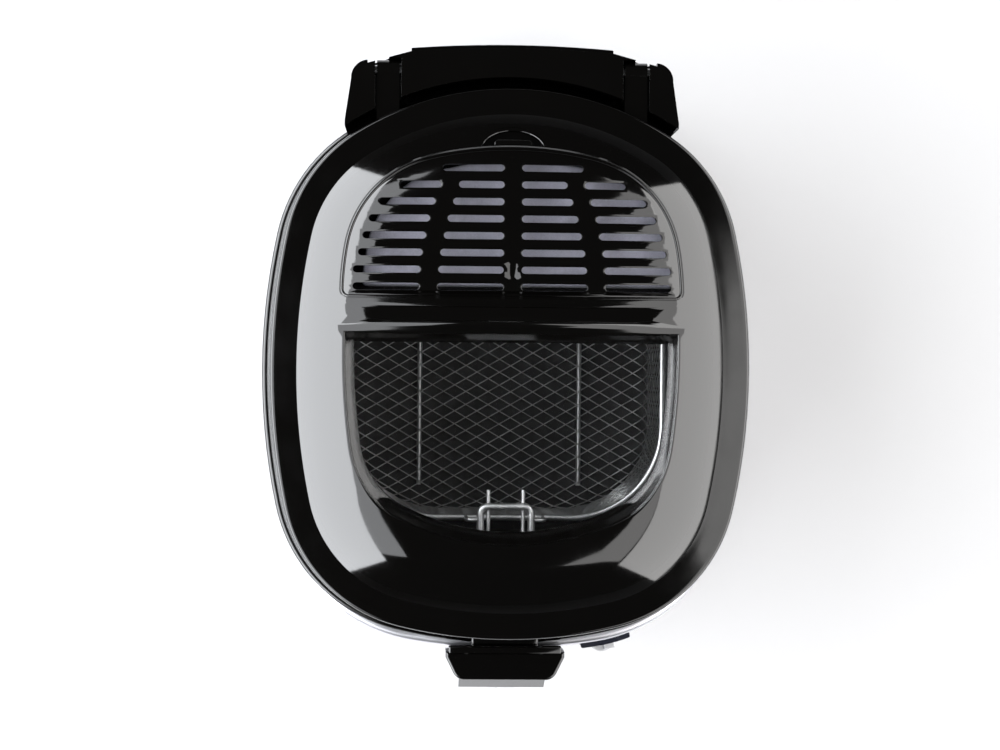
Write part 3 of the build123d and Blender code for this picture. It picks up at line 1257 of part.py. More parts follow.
# ================================================================ all pieces
def pieces():
    """Every piece of the fryer by name."""
    lid_outer = lid_form(0, 0)
    return {
        "rubber_feet": feet(),
        "base_tray": base_tray(),
        "base_screws": base_screws(),
        "body_shell": body_shell(),
        "top_rim": top_rim(),
        "oil_bowl": oil_bowl(),
        "heat_shield": heat_shield(),
        "heat_spreader": heat_spreader(),
        "heating_element": heating_element(),
        "heater_terminals": heater_terminals(),
        "thermal_cutout": thermal_cutout(),
        "thermostat_bulb": thermostat_bulb(),
        "thermostat_capillary": capillary(),
        "thermostat_case": thermostat(),
        "control_bezel": control_bezel(),
        "temperature_slider": temperature_slider(),
        "pilot_lens": pilot_lens(),
        "pilot_lamp": pilot_lamp(),
        "rear_housing": rear_housing(),
        "rear_cover": rear_cover(),
        "cover_screws": cover_screws(),
        "cord_gland": cord_gland(),
        "terminal_block": terminal_block(),
        "hinge_pins": hinge_pins(),
        "lid_shell": lid_shell(lid_outer),
        "window_pane": window_pane(),
        "window_gasket": window_gasket(),
        "filter_cover": filter_cover(lid_outer),
        "fleece_filter": fleece_filter(),
        "charcoal_filter": charcoal_filter(),
        "filter_tray": filter_tray(),
        "lid_liner": lid_liner(),
        "lid_seal": lid_seal(),
        "lid_screws": lid_screws(),
        "hinge_arms": hinge_arms(lid_outer),
        "basket_mesh": basket_mesh(),
        "basket_rim": basket_rim(),
        "basket_feet": basket_feet(),
        "basket_yoke": yoke(),
        "yoke_rods": yoke_rods(),
        "basket_clips": basket_clips(),
        "handle_bracket": handle_bracket(),
        "handle_pin": handle_pin(),
        "handle_outer_shell": handle_outer_shell(),
        "handle_inner_shell": handle_inner_shell(),
        "handle_screws": handle_screws(),
        "handle_button": handle_button(),
        "button_spring": button_spring(),
    }


for name, piece in pieces().items():
    export_step(piece, f"parts/{name}.step")
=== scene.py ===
"""Countertop deep fryer: finishes, woven basket, filter mats and studio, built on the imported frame."""

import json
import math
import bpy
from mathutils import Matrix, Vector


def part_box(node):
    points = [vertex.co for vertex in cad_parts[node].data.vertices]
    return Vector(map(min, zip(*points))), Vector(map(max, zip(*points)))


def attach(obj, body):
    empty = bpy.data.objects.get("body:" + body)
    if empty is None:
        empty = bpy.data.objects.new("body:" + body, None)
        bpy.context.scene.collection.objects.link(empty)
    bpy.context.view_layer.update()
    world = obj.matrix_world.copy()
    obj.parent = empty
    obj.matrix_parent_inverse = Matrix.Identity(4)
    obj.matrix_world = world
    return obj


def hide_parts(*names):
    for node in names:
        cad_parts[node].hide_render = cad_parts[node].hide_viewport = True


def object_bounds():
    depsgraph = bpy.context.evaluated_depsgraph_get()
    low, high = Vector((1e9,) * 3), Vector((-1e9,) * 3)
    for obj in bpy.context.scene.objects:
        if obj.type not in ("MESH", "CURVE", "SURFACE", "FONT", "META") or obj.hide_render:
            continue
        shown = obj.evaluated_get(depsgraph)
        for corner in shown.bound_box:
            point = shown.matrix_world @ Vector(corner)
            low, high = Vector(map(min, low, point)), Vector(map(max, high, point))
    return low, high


bl_info = {
    "name": "Deep Fryer",
    "version": (1, 0, 0),
    "blender": (4, 5, 0),
    "location": "View3D > Sidebar > Fryer",
    "description": "Builds a countertop deep fryer on its packed frame, with a small studio",
    "category": "Add Mesh",
}

from collections import namedtuple
from functools import cache

import bmesh
import bpy
from mathutils import Matrix, Vector
from mathutils.geometry import delaunay_2d_cdt

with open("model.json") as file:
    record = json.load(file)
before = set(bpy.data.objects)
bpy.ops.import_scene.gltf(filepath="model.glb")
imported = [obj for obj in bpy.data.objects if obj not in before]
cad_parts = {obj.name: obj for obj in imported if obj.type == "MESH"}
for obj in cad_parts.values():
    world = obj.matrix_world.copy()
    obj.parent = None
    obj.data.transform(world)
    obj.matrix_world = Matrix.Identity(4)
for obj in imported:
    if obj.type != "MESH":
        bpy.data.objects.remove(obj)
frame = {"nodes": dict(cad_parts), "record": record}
CAD_BOX = [list(corner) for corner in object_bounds()]
SLOT_OF = {part["node"]: part["material_slot"] for part in frame["record"]["subparts"]}
BODY_OF = {node: body for body, nodes in frame["record"]["behaviour"]["bodies"].items() for node in nodes}
MM = 0.001


# ------------------------------------------------------------------ settings


class FryerSizes(bpy.types.PropertyGroup):
    """Sizes of the made pieces that a user would change."""

    wire: bpy.props.FloatProperty(
        name="Basket wire", description="Diameter of the woven wire", default=0.74 * MM, unit="LENGTH"
    )
    diamond_long: bpy.props.FloatProperty(
        name="Diamond length",
        description="Long diagonal of one opening",
        default=13.4 * MM,
        unit="LENGTH",
    )
    diamond_short: bpy.props.FloatProperty(
        name="Diamond width",
        description="Short diagonal of one opening",
        default=7.8 * MM,
        unit="LENGTH",
    )
    edge_round: bpy.props.FloatProperty(
        name="Edge rounding",
        description="Radius on the edges of moulded pieces",
        default=0.6 * MM,
        unit="LENGTH",
    )
    fibre_depth: bpy.props.FloatProperty(
        name="Mat unevenness",
        description="Height of the lumps in the filter mats",
        default=0.3 * MM,
        unit="LENGTH",
    )


class FryerColours(bpy.types.PropertyGroup):
    """Colours that a user would change."""

    gloss: bpy.props.FloatVectorProperty(
        name="Gloss plastic",
        description="Lid, rim, hood and housing",
        default=(0.0009, 0.0008, 0.0007),
        subtype="COLOR",
    )
    panel: bpy.props.FloatVectorProperty(
        name="Control panel",
        description="Plate round the slider",
        default=(0.006, 0.007, 0.014),
        subtype="COLOR",
    )
    silver: bpy.props.FloatVectorProperty(
        name="Silver plastic",
        description="Handle button and slider",
        default=(0.56, 0.56, 0.57),
        subtype="COLOR",
    )
    steel: bpy.props.FloatVectorProperty(
        name="Brushed steel", description="Body wall", default=(0.72, 0.72, 0.76), subtype="COLOR"
    )
    wire: bpy.props.FloatVectorProperty(
        name="Plated wire",
        description="Basket and its yoke",
        default=(0.78, 0.78, 0.78),
        subtype="COLOR",
    )
    fleece: bpy.props.FloatVectorProperty(
        name="Filter fleece",
        description="Mat under the slots",
        default=(0.42, 0.42, 0.5),
        subtype="COLOR",
    )
    floor: bpy.props.FloatVectorProperty(
        name="Floor", description="Studio floor", default=(0.52, 0.52, 0.525), subtype="COLOR"
    )


# ------------------------------------------------------------------ node helpers


def add(tree, kind, inputs=None, **settings):
    """Add a node of this kind, with its settings and socket values."""
    node = tree.nodes.new(kind)
    for name, value in settings.items():
        setattr(node, name, value)
    for name, value in (inputs or {}).items():
        node.inputs[name].default_value = value
    return node


def join(tree, source, target):
    """Link one socket to another."""
    tree.links.new(source, target)


def wire(tree, *links):
    """Link nodes, each link given as a node, its output, the next node and its input."""
    for source, out, target, into in links:
        join(tree, source.outputs[out], target.inputs[into])


def new_group(name, inputs, outputs):
    """A new shader group with these named sockets, and its input and output nodes."""
    tree = bpy.data.node_groups.new(name, "ShaderNodeTree")
    for label, kind, default in inputs:
        socket = tree.interface.new_socket(label, in_out="INPUT", socket_type=kind)
        socket.default_value = default
    for label, kind in outputs:
        tree.interface.new_socket(label, in_out="OUTPUT", socket_type=kind)
    return tree, tree.nodes.new("NodeGroupInput"), tree.nodes.new("NodeGroupOutput")


FLOAT = "NodeSocketFloat"
VECTOR = "NodeSocketVector"


def moulded_skin():
    """Group for moulded plastic: fine grain in the normal and patches of polish in the roughness."""
    inputs = [("Grain Scale", FLOAT, 900.0), ("Grain Depth", FLOAT, 0.1), ("Polish Low", FLOAT, 0.1)]
    inputs += [("Polish High", FLOAT, 0.2)]
    tree, start, end = new_group("Moulded Skin", inputs, [("Roughness", FLOAT), ("Normal", VECTOR)])
    place = add(tree, "ShaderNodeTexCoord")
    grain = add(tree, "ShaderNodeTexNoise", {"Detail": 3.0})
    patches = add(tree, "ShaderNodeTexNoise", {"Scale": 24.0, "Detail": 6.0, "Roughness": 0.65})
    spread = add(tree, "ShaderNodeMapRange", {"From Min": 0.35, "From Max": 0.65})
    bump = add(tree, "ShaderNodeBump", {"Distance": 0.05 * MM})
    wire(
        tree,
        (place, "Object", grain, "Vector"),
        (place, "Object", patches, "Vector"),
        (start, "Grain Scale", grain, "Scale"),
        (start, "Grain Depth", bump, "Strength"),
        (grain, "Fac", bump, "Height"),
        (patches, "Fac", spread, "Value"),
        (start, "Polish Low", spread, "To Min"),
        (start, "Polish High", spread, "To Max"),
        (spread, "Result", end, "Roughness"),
        (bump, "Normal", end, "Normal"),
    )
    return tree


def edge_wear():
    """Group for rubbed edges: a mask that is one on worn edges and zero on faces."""
    inputs = [("Width", FLOAT, 0.6 * MM), ("Amount", FLOAT, 1.0)]
    tree, start, end = new_group("Edge Wear", inputs, [("Mask", FLOAT)])
    place = add(tree, "ShaderNodeTexCoord")
    shape = add(tree, "ShaderNodeNewGeometry")
    rounded = add(tree, "ShaderNodeBevel", samples=4)
    turn = add(tree, "ShaderNodeVectorMath", operation="DOT_PRODUCT")
    near = add(tree, "ShaderNodeMapRange", {"From Min": 0.995, "From Max": 0.8, "To Min": 0.0, "To Max": 1.0})
    rub = add(tree, "ShaderNodeTexNoise", {"Scale": 90.0, "Detail": 4.0})
    broken = add(tree, "ShaderNodeMapRange", {"From Min": 0.42, "From Max": 0.6})
    both = add(tree, "ShaderNodeMath", operation="MULTIPLY")
    scaled = add(tree, "ShaderNodeMath", operation="MULTIPLY", use_clamp=True)
    wire(
        tree,
        (start, "Width", rounded, "Radius"),
        (rounded, "Normal", turn, 0),
        (shape, "Normal", turn, 1),
        (turn, "Value", near, "Value"),
        (place, "Object", rub, "Vector"),
        (rub, "Fac", broken, "Value"),
        (near, "Result", both, 0),
        (broken, "Result", both, 1),
        (both, "Value", scaled, 0),
        (start, "Amount", scaled, 1),
        (scaled, "Value", end, "Mask"),
    )
    return tree


def brushed_lines():
    """Group for brushed or drawn metal: fine lines in the roughness, the tone and the normal."""
    inputs = [("Stretch", VECTOR, (4.0, 4.0, 900.0)), ("Depth", FLOAT, 0.15), ("Polish Low", FLOAT, 0.2)]
    inputs += [("Polish High", FLOAT, 0.4)]
    outputs = [("Roughness", FLOAT), ("Normal", VECTOR), ("Tone", FLOAT)]
    tree, start, end = new_group("Brushed Lines", inputs, outputs)
    place = add(tree, "ShaderNodeTexCoord")
    drawn = add(tree, "ShaderNodeMapping", vector_type="POINT")
    lines = add(tree, "ShaderNodeTexNoise", {"Scale": 1.0, "Detail": 5.0, "Roughness": 0.7})
    spread = add(tree, "ShaderNodeMapRange", {"From Min": 0.3, "From Max": 0.7})
    tone = add(tree, "ShaderNodeMapRange", {"From Min": 0.3, "From Max": 0.7})
    bump = add(tree, "ShaderNodeBump", {"Distance": 0.05 * MM})
    wire(
        tree,
        (place, "Object", drawn, "Vector"),
        (start, "Stretch", drawn, "Scale"),
        (drawn, "Vector", lines, "Vector"),
        (lines, "Fac", spread, "Value"),
        (lines, "Fac", tone, "Value"),
        (lines, "Fac", bump, "Height"),
        (start, "Depth", bump, "Strength"),
        (start, "Polish Low", spread, "To Min"),
        (start, "Polish High", spread, "To Max"),
        (spread, "Result", end, "Roughness"),
        (bump, "Normal", end, "Normal"),
        (tone, "Result", end, "Tone"),
    )
    return tree


def flecks():
    """Group for flecks and grains: a mask of scattered small spots."""
    inputs = [("Scale", FLOAT, 900.0), ("Share", FLOAT, 0.2)]
    tree, start, end = new_group("Flecks", inputs, [("Mask", FLOAT)])
    place = add(tree, "ShaderNodeTexCoord")
    cells = add(tree, "ShaderNodeTexVoronoi")
    pick = add(tree, "ShaderNodeSeparateColor")
    chosen = add(tree, "ShaderNodeMath", operation="LESS_THAN")
    fade = {"From Min": 0.15, "From Max": 0.45, "To Min": 1.0, "To Max": 0.0}
    small = add(tree, "ShaderNodeMapRange", fade)
    both = add(tree, "ShaderNodeMath", operation="MULTIPLY")
    wire(
        tree,
        (place, "Object", cells, "Vector"),
        (start, "Scale", cells, "Scale"),
        (cells, "Color", pick, "Color"),
        (pick, "Red", chosen, 0),
        (start, "Share", chosen, 1),
        (cells, "Distance", small, "Value"),
        (chosen, "Value", both, 0),
        (small, "Result", both, 1),
        (both, "Value", end, "Mask"),
    )
    return tree


def fibres():
    """Group for matted fibres: a tangled tone, with a normal that follows it."""
    inputs = [("Scale", FLOAT, 420.0), ("Depth", FLOAT, 0.6)]
    tree, start, end = new_group("Fibres", inputs, [("Tone", FLOAT), ("Normal", VECTOR)])
    place = add(tree, "ShaderNodeTexCoord")
    tangle = add(tree, "ShaderNodeTexNoise", {"Detail": 8.0, "Roughness": 0.75, "Distortion": 2.2})
    tufts = add(tree, "ShaderNodeTexNoise", {"Scale": 55.0, "Detail": 3.0, "Distortion": 0.6})
    mixed = add(tree, "ShaderNodeMath", operation="ADD")
    halved = add(tree, "ShaderNodeMath", operation="MULTIPLY")
    halved.inputs[1].default_value = 0.5
    spread = add(tree, "ShaderNodeMapRange", {"From Min": 0.35, "From Max": 0.65})
    bump = add(tree, "ShaderNodeBump", {"Distance": 0.6 * MM})
    wire(
        tree,
        (place, "Object", tangle, "Vector"),
        (place, "Object", tufts, "Vector"),
        (start, "Scale", tangle, "Scale"),
        (tangle, "Fac", mixed, 0),
        (tufts, "Fac", mixed, 1),
        (mixed, "Value", halved, 0),
        (halved, "Value", spread, "Value"),
        (halved, "Value", bump, "Height"),
        (start, "Depth", bump, "Strength"),
        (spread, "Result", end, "Tone"),
        (bump, "Normal", end, "Normal"),
    )
    return tree


GROUPS = {
    "Moulded Skin": moulded_skin,
    "Edge Wear": edge_wear,
    "Brushed Lines": brushed_lines,
    "Flecks": flecks,
    "Fibres": fibres,
}


def effect(tree, name, **values):
    """Place a shared effect in a material, with its own values."""
    group = bpy.data.node_groups.get(name) or GROUPS[name]()
    node = add(tree, "ShaderNodeGroup", node_tree=group)
    for label, value in values.items():
        node.inputs[label.replace("_", " ")].default_value = value
    return node


def blank(name, base, roughness, **sockets):
    """A new material with its shader's own sockets set, and its node tree."""
    material = bpy.data.materials.new(name)
    material.use_nodes = True
    tree = material.node_tree
    shader = tree.nodes["Principled BSDF"]
    shader.inputs["Base Color"].default_value = (*base, 1.0)
    shader.inputs["Roughness"].default_value = roughness
    for label, value in sockets.items():
        shader.inputs[label.replace("_", " ")].default_value = value
    return material, tree, shader


def two_tone(tree, mask, low, high):
    """A colour that goes from low to high with a mask."""
    mix = add(tree, "ShaderNodeMix", data_type="RGBA")
    mix.inputs["A"].default_value = (*low, 1.0)
    mix.inputs["B"].default_value = (*high, 1.0)
    join(tree, mask, mix.inputs["Factor"])
    return mix.outputs["Result"]


def scaled(colour, factor):
    """A colour made lighter or darker."""
    return tuple(min(1.0, part * factor) for part in colour)


# ------------------------------------------------------------------ finishes


def skinned(tree, shader, grain, depth, low, high):
    """Put a moulded skin on a shader."""
    polish = {"Polish_Low": low, "Polish_High": high}
    skin = effect(tree, "Moulded Skin", Grain_Scale=grain, Grain_Depth=depth, **polish)
    join(tree, skin.outputs["Roughness"], shader.inputs["Roughness"])
    join(tree, skin.outputs["Normal"], shader.inputs["Normal"])


def moulded(name, base, grain, depth, low, high, wear=0.0, worn=(0.05, 0.05, 0.05), **sockets):
    """A moulded plastic: grain, uneven polish and rubbed edges."""
    material, tree, shader = blank(name, base, (low + high) / 2, **sockets)
    skinned(tree, shader, grain, depth, low, high)
    if wear:
        rubbed = effect(tree, "Edge Wear", Amount=wear)
        join(tree, two_tone(tree, rubbed.outputs["Mask"], base, worn), shader.inputs["Base Color"])
    return material


def metal(name, base, stretch, depth, low, high, shade=0.8, **sockets):
    """A drawn, brushed or plated metal."""
    material, tree, shader = blank(name, base, (low + high) / 2, Metallic=1.0, **sockets)
    drawn = effect(tree, "Brushed Lines", Stretch=stretch, Depth=depth, Polish_Low=low, Polish_High=high)
    join(tree, drawn.outputs["Roughness"], shader.inputs["Roughness"])
    join(tree, drawn.outputs["Normal"], shader.inputs["Normal"])
    join(tree, two_tone(tree, drawn.outputs["Tone"], scaled(base, shade), base), shader.inputs["Base Color"])
    return material


def gloss_black(name, colours):
    """Polished black plastic of the lid, rim, hood and housing."""
    return moulded(name, colours.gloss, 60.0, 0.02, 0.05, 0.1, IOR=1.7)


def matt_black(name, colours):
    """Grained black plastic of the base and the parts out of sight."""
    return moulded(name, (0.012, 0.012, 0.012), 1400.0, 0.5, 0.42, 0.58, wear=0.5)


def panel_black(name, colours):
    """Satin blue-black plate round the slider."""
    return moulded(name, colours.panel, 1500.0, 0.12, 0.26, 0.36, IOR=1.6)


def switch_plastic(name, colours):
    """Pale plastic of the thermostat case."""
    return moulded(name, (0.5, 0.49, 0.45), 700.0, 0.2, 0.35, 0.5)


def silver_plastic(name, colours):
    """Silver painted plastic of the button and the slider."""
    material, tree, shader = blank(name, colours.silver, 0.32, Metallic=0.35, Coat_Weight=0.25)
    skinned(tree, shader, 1500.0, 0.1, 0.26, 0.38)
    sparkle = effect(tree, "Flecks", Scale=3200.0, Share=0.35)
    tone = two_tone(tree, sparkle.outputs["Mask"], scaled(colours.silver, 0.92), scaled(colours.silver, 1.15))
    join(tree, tone, shader.inputs["Base Color"])
    return material


def brushed_body(name, colours):
    """Brushed steel of the body wall, with its lines running round the body."""
    return metal(name, colours.steel, (14.0, 14.0, 1600.0), 0.12, 0.26, 0.4, shade=0.86, Anisotropic=0.4)


def bright_sheet(name, colours):
    """Bright sheet steel of the shield, liner and brackets."""
    return metal(name, (0.62, 0.62, 0.63), (90.0, 90.0, 90.0), 0.08, 0.24, 0.42)


def bare_aluminium(name, colours):
    """Cast aluminium of the heat spreader."""
    return metal(name, (0.68, 0.68, 0.7), (320.0, 320.0, 320.0), 0.4, 0.4, 0.55)


def element_sheath(name, colours):
    """Heat-tinted sheath of the element."""
    return metal(name, (0.2, 0.17, 0.15), (160.0, 160.0, 160.0), 0.2, 0.35, 0.55, shade=0.6)


def terminal_brass(name, colours):
    """Stamped brass of the terminals."""
    return metal(name, (0.72, 0.52, 0.24), (200.0, 900.0, 200.0), 0.1, 0.25, 0.4)


def screw_steel(name, colours):
    """Zinc plated screws and pins."""
    return metal(name, (0.66, 0.66, 0.68), (500.0, 500.0, 60.0), 0.1, 0.22, 0.36)


def chrome_wire(name, colours):
    """Bright plated wire."""
    return metal(name, colours.wire, (260.0, 260.0, 260.0), 0.1, 0.3, 0.45, shade=0.85)


def non_stick(name, colours):
    """Dark non-stick coating with small pale flecks."""
    dark = (0.022, 0.022, 0.022)
    material, tree, shader = blank(name, dark, 0.4, IOR=1.5)
    specks = effect(tree, "Flecks", Scale=1300.0, Share=0.12)
    skinned(tree, shader, 1600.0, 0.5, 0.34, 0.46)
    join(tree, two_tone(tree, specks.outputs["Mask"], dark, (0.12, 0.12, 0.125)), shader.inputs["Base Color"])
    return material


def switch_ceramic(name, colours):
    """Glazed ceramic of the terminals and the cutout."""
    return moulded(name, (0.78, 0.76, 0.7), 500.0, 0.3, 0.3, 0.45)


def foot_rubber(name, colours):
    """Soft black rubber of the feet."""
    return moulded(name, (0.016, 0.016, 0.017), 800.0, 0.6, 0.62, 0.78)


def seal_silicone(name, colours):
    """Grey silicone of the lid seal and the window gasket."""
    return moulded(name, (0.045, 0.045, 0.048), 600.0, 0.3, 0.45, 0.58)


def red_lens(name, colours):
    """Clear red plastic of the pilot light."""
    return moulded(name, (0.5, 0.012, 0.008), 900.0, 0.1, 0.12, 0.2, Transmission_Weight=0.35)


def see_through(name, base, rough, ior):
    """A clear material that lets the lamps through to what lies behind it."""
    material, tree, shader = blank(name, base, rough, IOR=ior, Transmission_Weight=1.0)
    skin = effect(tree, "Moulded Skin", Grain_Scale=40.0, Grain_Depth=0.02, Polish_Low=0.0, Polish_High=rough)
    clear = add(tree, "ShaderNodeBsdfTransparent")
    path = add(tree, "ShaderNodeLightPath")
    mix = add(tree, "ShaderNodeMixShader")
    wire(
        tree,
        (skin, "Roughness", shader, "Roughness"),
        (path, "Is Shadow Ray", mix, "Fac"),
        (shader, "BSDF", mix, 1),
        (clear, "BSDF", mix, 2),
    )
    join(tree, mix.outputs["Shader"], tree.nodes["Material Output"].inputs["Surface"])
    return material


def clear_pane(name, colours):
    """Clear window of the lid."""
    return see_through(name, (0.97, 0.98, 0.98), 0.02, 1.45)


def lamp_glass(name, colours):
    """Small glass envelope of the pilot lamp."""
    return see_through(name, (0.98, 0.95, 0.92), 0.03, 1.5)


def filter_fleece(name, colours):
    """Lavender-grey fleece of the upper filter mat."""
    material, tree, shader = blank(name, colours.fleece, 0.95, Sheen_Weight=0.35, Sheen_Roughness=0.5)
    tangle = effect(tree, "Fibres", Scale=520.0, Depth=0.7)
    tone = two_tone(tree, tangle.outputs["Tone"], scaled(colours.fleece, 0.72), scaled(colours.fleece, 1.18))
    join(tree, tone, shader.inputs["Base Color"])
    join(tree, tangle.outputs["Normal"], shader.inputs["Normal"])
    return material


def charcoal_mat(name, colours):
    """Charcoal granules bonded in a dark mat."""
    dark = (0.01, 0.01, 0.011)
    material, tree, shader = blank(name, dark, 0.8)
    grains = effect(tree, "Flecks", Scale=700.0, Share=0.5)
    tangle = effect(tree, "Fibres", Scale=300.0, Depth=0.8)
    join(tree, two_tone(tree, grains.outputs["Mask"], dark, (0.05, 0.05, 0.052)), shader.inputs["Base Color"])
    join(tree, tangle.outputs["Normal"], shader.inputs["Normal"])
    return material


MAKERS = (
    gloss_black, matt_black, panel_black, switch_plastic, silver_plastic, brushed_body, bright_sheet,
    bare_aluminium, element_sheath, terminal_brass, screw_steel, chrome_wire, non_stick, switch_ceramic,
    foot_rubber, seal_silicone, red_lens, clear_pane, lamp_glass, filter_fleece, charcoal_mat,
)
FINISHES = {maker.__name__: maker for maker in MAKERS}


def finish(slot):
    """The finish for a material slot, made when first asked for."""
    name = slot + "_finish"
    return bpy.data.materials.get(name) or FINISHES[slot](name, bpy.context.scene.fryer_colours)


def clad(*names):
    """Give each carried-over piece the finish that the record names for it."""
    for name in names:
        node = frame["nodes"][name]
        if not node.material_slots:
            node.data.materials.append(None)
        for slot in node.material_slots:
            slot.material = finish(SLOT_OF[name])


def stand_in(obj, name):
    """Make a piece take the place of a carried-over one, on its body and in its finish."""
    obj.data.materials.append(finish(SLOT_OF[name]))
    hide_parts(name)
    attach(obj, BODY_OF[name])
    return obj


def piece(name, data):
    """A new object in the scene."""
    obj = bpy.data.objects.new(name, data)
    bpy.context.scene.collection.objects.link(obj)
    return obj


def mesh_piece(name, form):
    """A new object from a bmesh, smooth but for its sharp edges."""
    data = bpy.data.meshes.new(name)
    form.to_mesh(data)
    form.free()
    data.shade_smooth()
    data.set_sharp_from_angle(angle=math.radians(35))
    return piece(name, data)


def softened(name, width=None, segments=3, angle=38.0):
    """A copy of a carried-over piece with its sharp edges rounded, in its place."""
    width = width or bpy.context.scene.fryer_sizes.edge_round
    form = bmesh.new()
    form.from_mesh(frame["nodes"][name].data)
    bmesh.ops.remove_doubles(form, verts=form.verts, dist=0.002 * MM)
    bmesh.ops.dissolve_limit(form, angle_limit=math.radians(0.4), verts=form.verts, edges=form.edges)
    obj = mesh_piece(name + "_finished", form)
    bevel = obj.modifiers.new("rounded_edges", "BEVEL")
    bevel.width = width
    bevel.segments = segments
    bevel.limit_method = "ANGLE"
    bevel.angle_limit = math.radians(angle)
    bevel.harden_normals = True
    bevel.miter_outer = "MITER_ARC"
    return stand_in(obj, name)


# ------------------------------------------------------------------ plans of the lid, in millimetres

Plan = namedtuple("Plan", "half_width reach radii straight_y sign")

HALF_WIDTH = round(CAD_BOX[1][0] / MM, 1)
WIDEST_Y = 5.3
SIDE_RADIUS = 358.0
CORNER_RADIUS = 90.0
CASE_FRONT = Plan(HALF_WIDTH, 151.3, (SIDE_RADIUS, CORNER_RADIUS, 255.0), WIDEST_Y, -1)
CASE_REAR = Plan(HALF_WIDTH, 157.0, (SIDE_RADIUS, CORNER_RADIUS, 164.0), WIDEST_Y, 1)
WINDOW = Plan(82.5, 99.4, (380.0, 43.0, 123.0), 19.2, -1)
VENT = Plan(88.3, 77.0, (150.0, 57.0, 190.0), 43.4, 1)
VENT_REAR_Y = VENT.straight_y + VENT.reach
VENT_GAP = 0.7
WELL_CORNER = 3.0
COVER_CORNER = 3.2

LID_TOP = round(CAD_BOX[1][2] / MM, 1)
LID_FOOT_Z = 172.8
LID_WALL = 2.2
WALL_INSET = 2.5
WALL_LEAN = 5.5 / 51.2
CREASE_INSET = 22.0
CREASE_Z = 226.5
SLOPE_WIDTH = 40.0
SLOPE_POWER = 1.9
NOTCH_HALF = 20.0
NOTCH_TOP = 221.2
FOOT = [(3.6, LID_FOOT_Z), (2.9, 172.95), (WALL_INSET + WALL_LEAN, 173.7)]
SHOULDER = [(7.8, 223.3), (8.0, 224.4), (8.4, 225.1), (8.9, 225.4), (9.6, 225.5), (10.6, 225.58)]
BAND = [(14.0, 225.85), (17.0, 226.1), (20.0, 226.34), (21.3, 226.44), (CREASE_INSET, CREASE_Z)]

BRINK_ROUND = 0.8
BRINK_STEPS = (0.0, 0.1, 0.35, 0.8, 1.6, 2.8, 4.2)
BEVEL_WIDTH = 6.6
LEDGE_Z = 235.5
SILL_TOP = LEDGE_Z - 0.3
SILL_FOOT = 233.1
WELL_FLOOR_Z = 214.0

RECESS_HALF = 15.5
RECESS_DEPTH = 9.6
RECESS_FLOOR_Z = LID_TOP - 14.0
TAB_HALF = 10.0
TAB_REACH = 5.6
TAB_THICKNESS = 2.4
TAB_TOP = LID_TOP - 7.2

SLOT_RADIUS = 1.8
SLOT_BAR = 9.4
SLOT_FIRST_Y = 48.1
SLOT_PITCH = 8.9
SLOTS_INNER = (34.5, 34.0, 33.0, 31.2, 29.3, 26.5, 23.5, 32.0)
SLOTS_OUTER = (34.5, 35.0, 33.3, 32.9, 31.6, 29.3, 21.3, 0.0)

CREASE_STEP = 0.7
RING_STEP = 2.2
RINGS_END = CREASE_INSET + SLOPE_WIDTH + 12.0
GRID_STEP = 3.4
COVER_GRID = (2.0, 2.23)


def spread(start, stop, count):
    """Evenly spaced numbers from start up to, but without, stop."""
    return [start + (stop - start) * index / count for index in range(count)]


def arc_centres(plan):
    """Centres of the side, corner and end arcs of a rounded end, and the angles where they join."""
    side_radius, corner_radius, end_radius = plan.radii
    side = Vector((plan.half_width - side_radius, 0))
    end = Vector((0, plan.reach - end_radius))
    span = end - side
    to_side, to_end = side_radius - corner_radius, end_radius - corner_radius
    along = (to_side**2 - to_end**2 + span.length_squared) / (2 * span.length)
    across = math.sqrt(to_side**2 - along**2)
    unit = span.normalized()
    corner = side + unit * along + Vector((-unit.y, unit.x)) * across
    first = math.atan2((corner - side).y, (corner - side).x)
    second = math.atan2((corner - end).y, (corner - end).x)
    return side, corner, end, first, second


def end_points(plan, grow=0.0, gap=None, start=0.0):
    """Points round a rounded end, from its right to its left, moved out by grow."""
    side, corner, end, first, second = arc_centres(plan)
    side_radius, corner_radius, end_radius = (radius + grow for radius in plan.radii)
    inner = math.acos(gap / end_radius) if gap else (second + math.pi / 2) / 2
    stretches = (
        (side, side_radius, start, first, 12),
        (corner, corner_radius, first, second, 24),
        (end, end_radius, second, inner, 12),
        (end, end_radius, inner, math.pi / 2, 6),
    )
    half = []
    for centre, radius, begin, stop, count in stretches:
        for turn in spread(begin, stop, count):
            half.append(centre + Vector((math.cos(turn), math.sin(turn))) * radius)
    half.append(end + Vector((0, end_radius)))
    points = half + [Vector((-spot.x, spot.y)) for spot in reversed(half[:-1])]
    return [Vector((spot.x, plan.straight_y + plan.sign * spot.y)) for spot in points]


def case_ring(inset):
    """The case's outline moved in by inset, from its right side round the rear and back round the front."""
    rear = end_points(CASE_REAR, -inset, NOTCH_HALF)
    front = end_points(CASE_FRONT, -inset, NOTCH_HALF)
    return rear[:-1] + list(reversed(front))[:-1]


def inset_at(spot):
    """How far a point of the plan lies inside the case's outline."""
    plan = CASE_REAR if spot.y > WIDEST_Y else CASE_FRONT
    side, corner, end, first, second = arc_centres(plan)
    point = Vector((abs(spot.x), abs(spot.y - WIDEST_Y)))
    if math.atan2(point.y - side.y, point.x - side.x) < first:
        return plan.radii[0] - (point - side).length
    if math.atan2(point.y - corner.y, point.x - corner.x) < second:
        return plan.radii[1] - (point - corner).length
    return plan.radii[2] - (point - end).length


def crown_height(spot):
    """Height of the lid's crowned top at a point of the plan."""
    share = min(1.0, max(0.0, (inset_at(spot) - CREASE_INSET) / SLOPE_WIDTH))
    return CREASE_Z + (LID_TOP - CREASE_Z) * (1 - (1 - share) ** SLOPE_POWER)


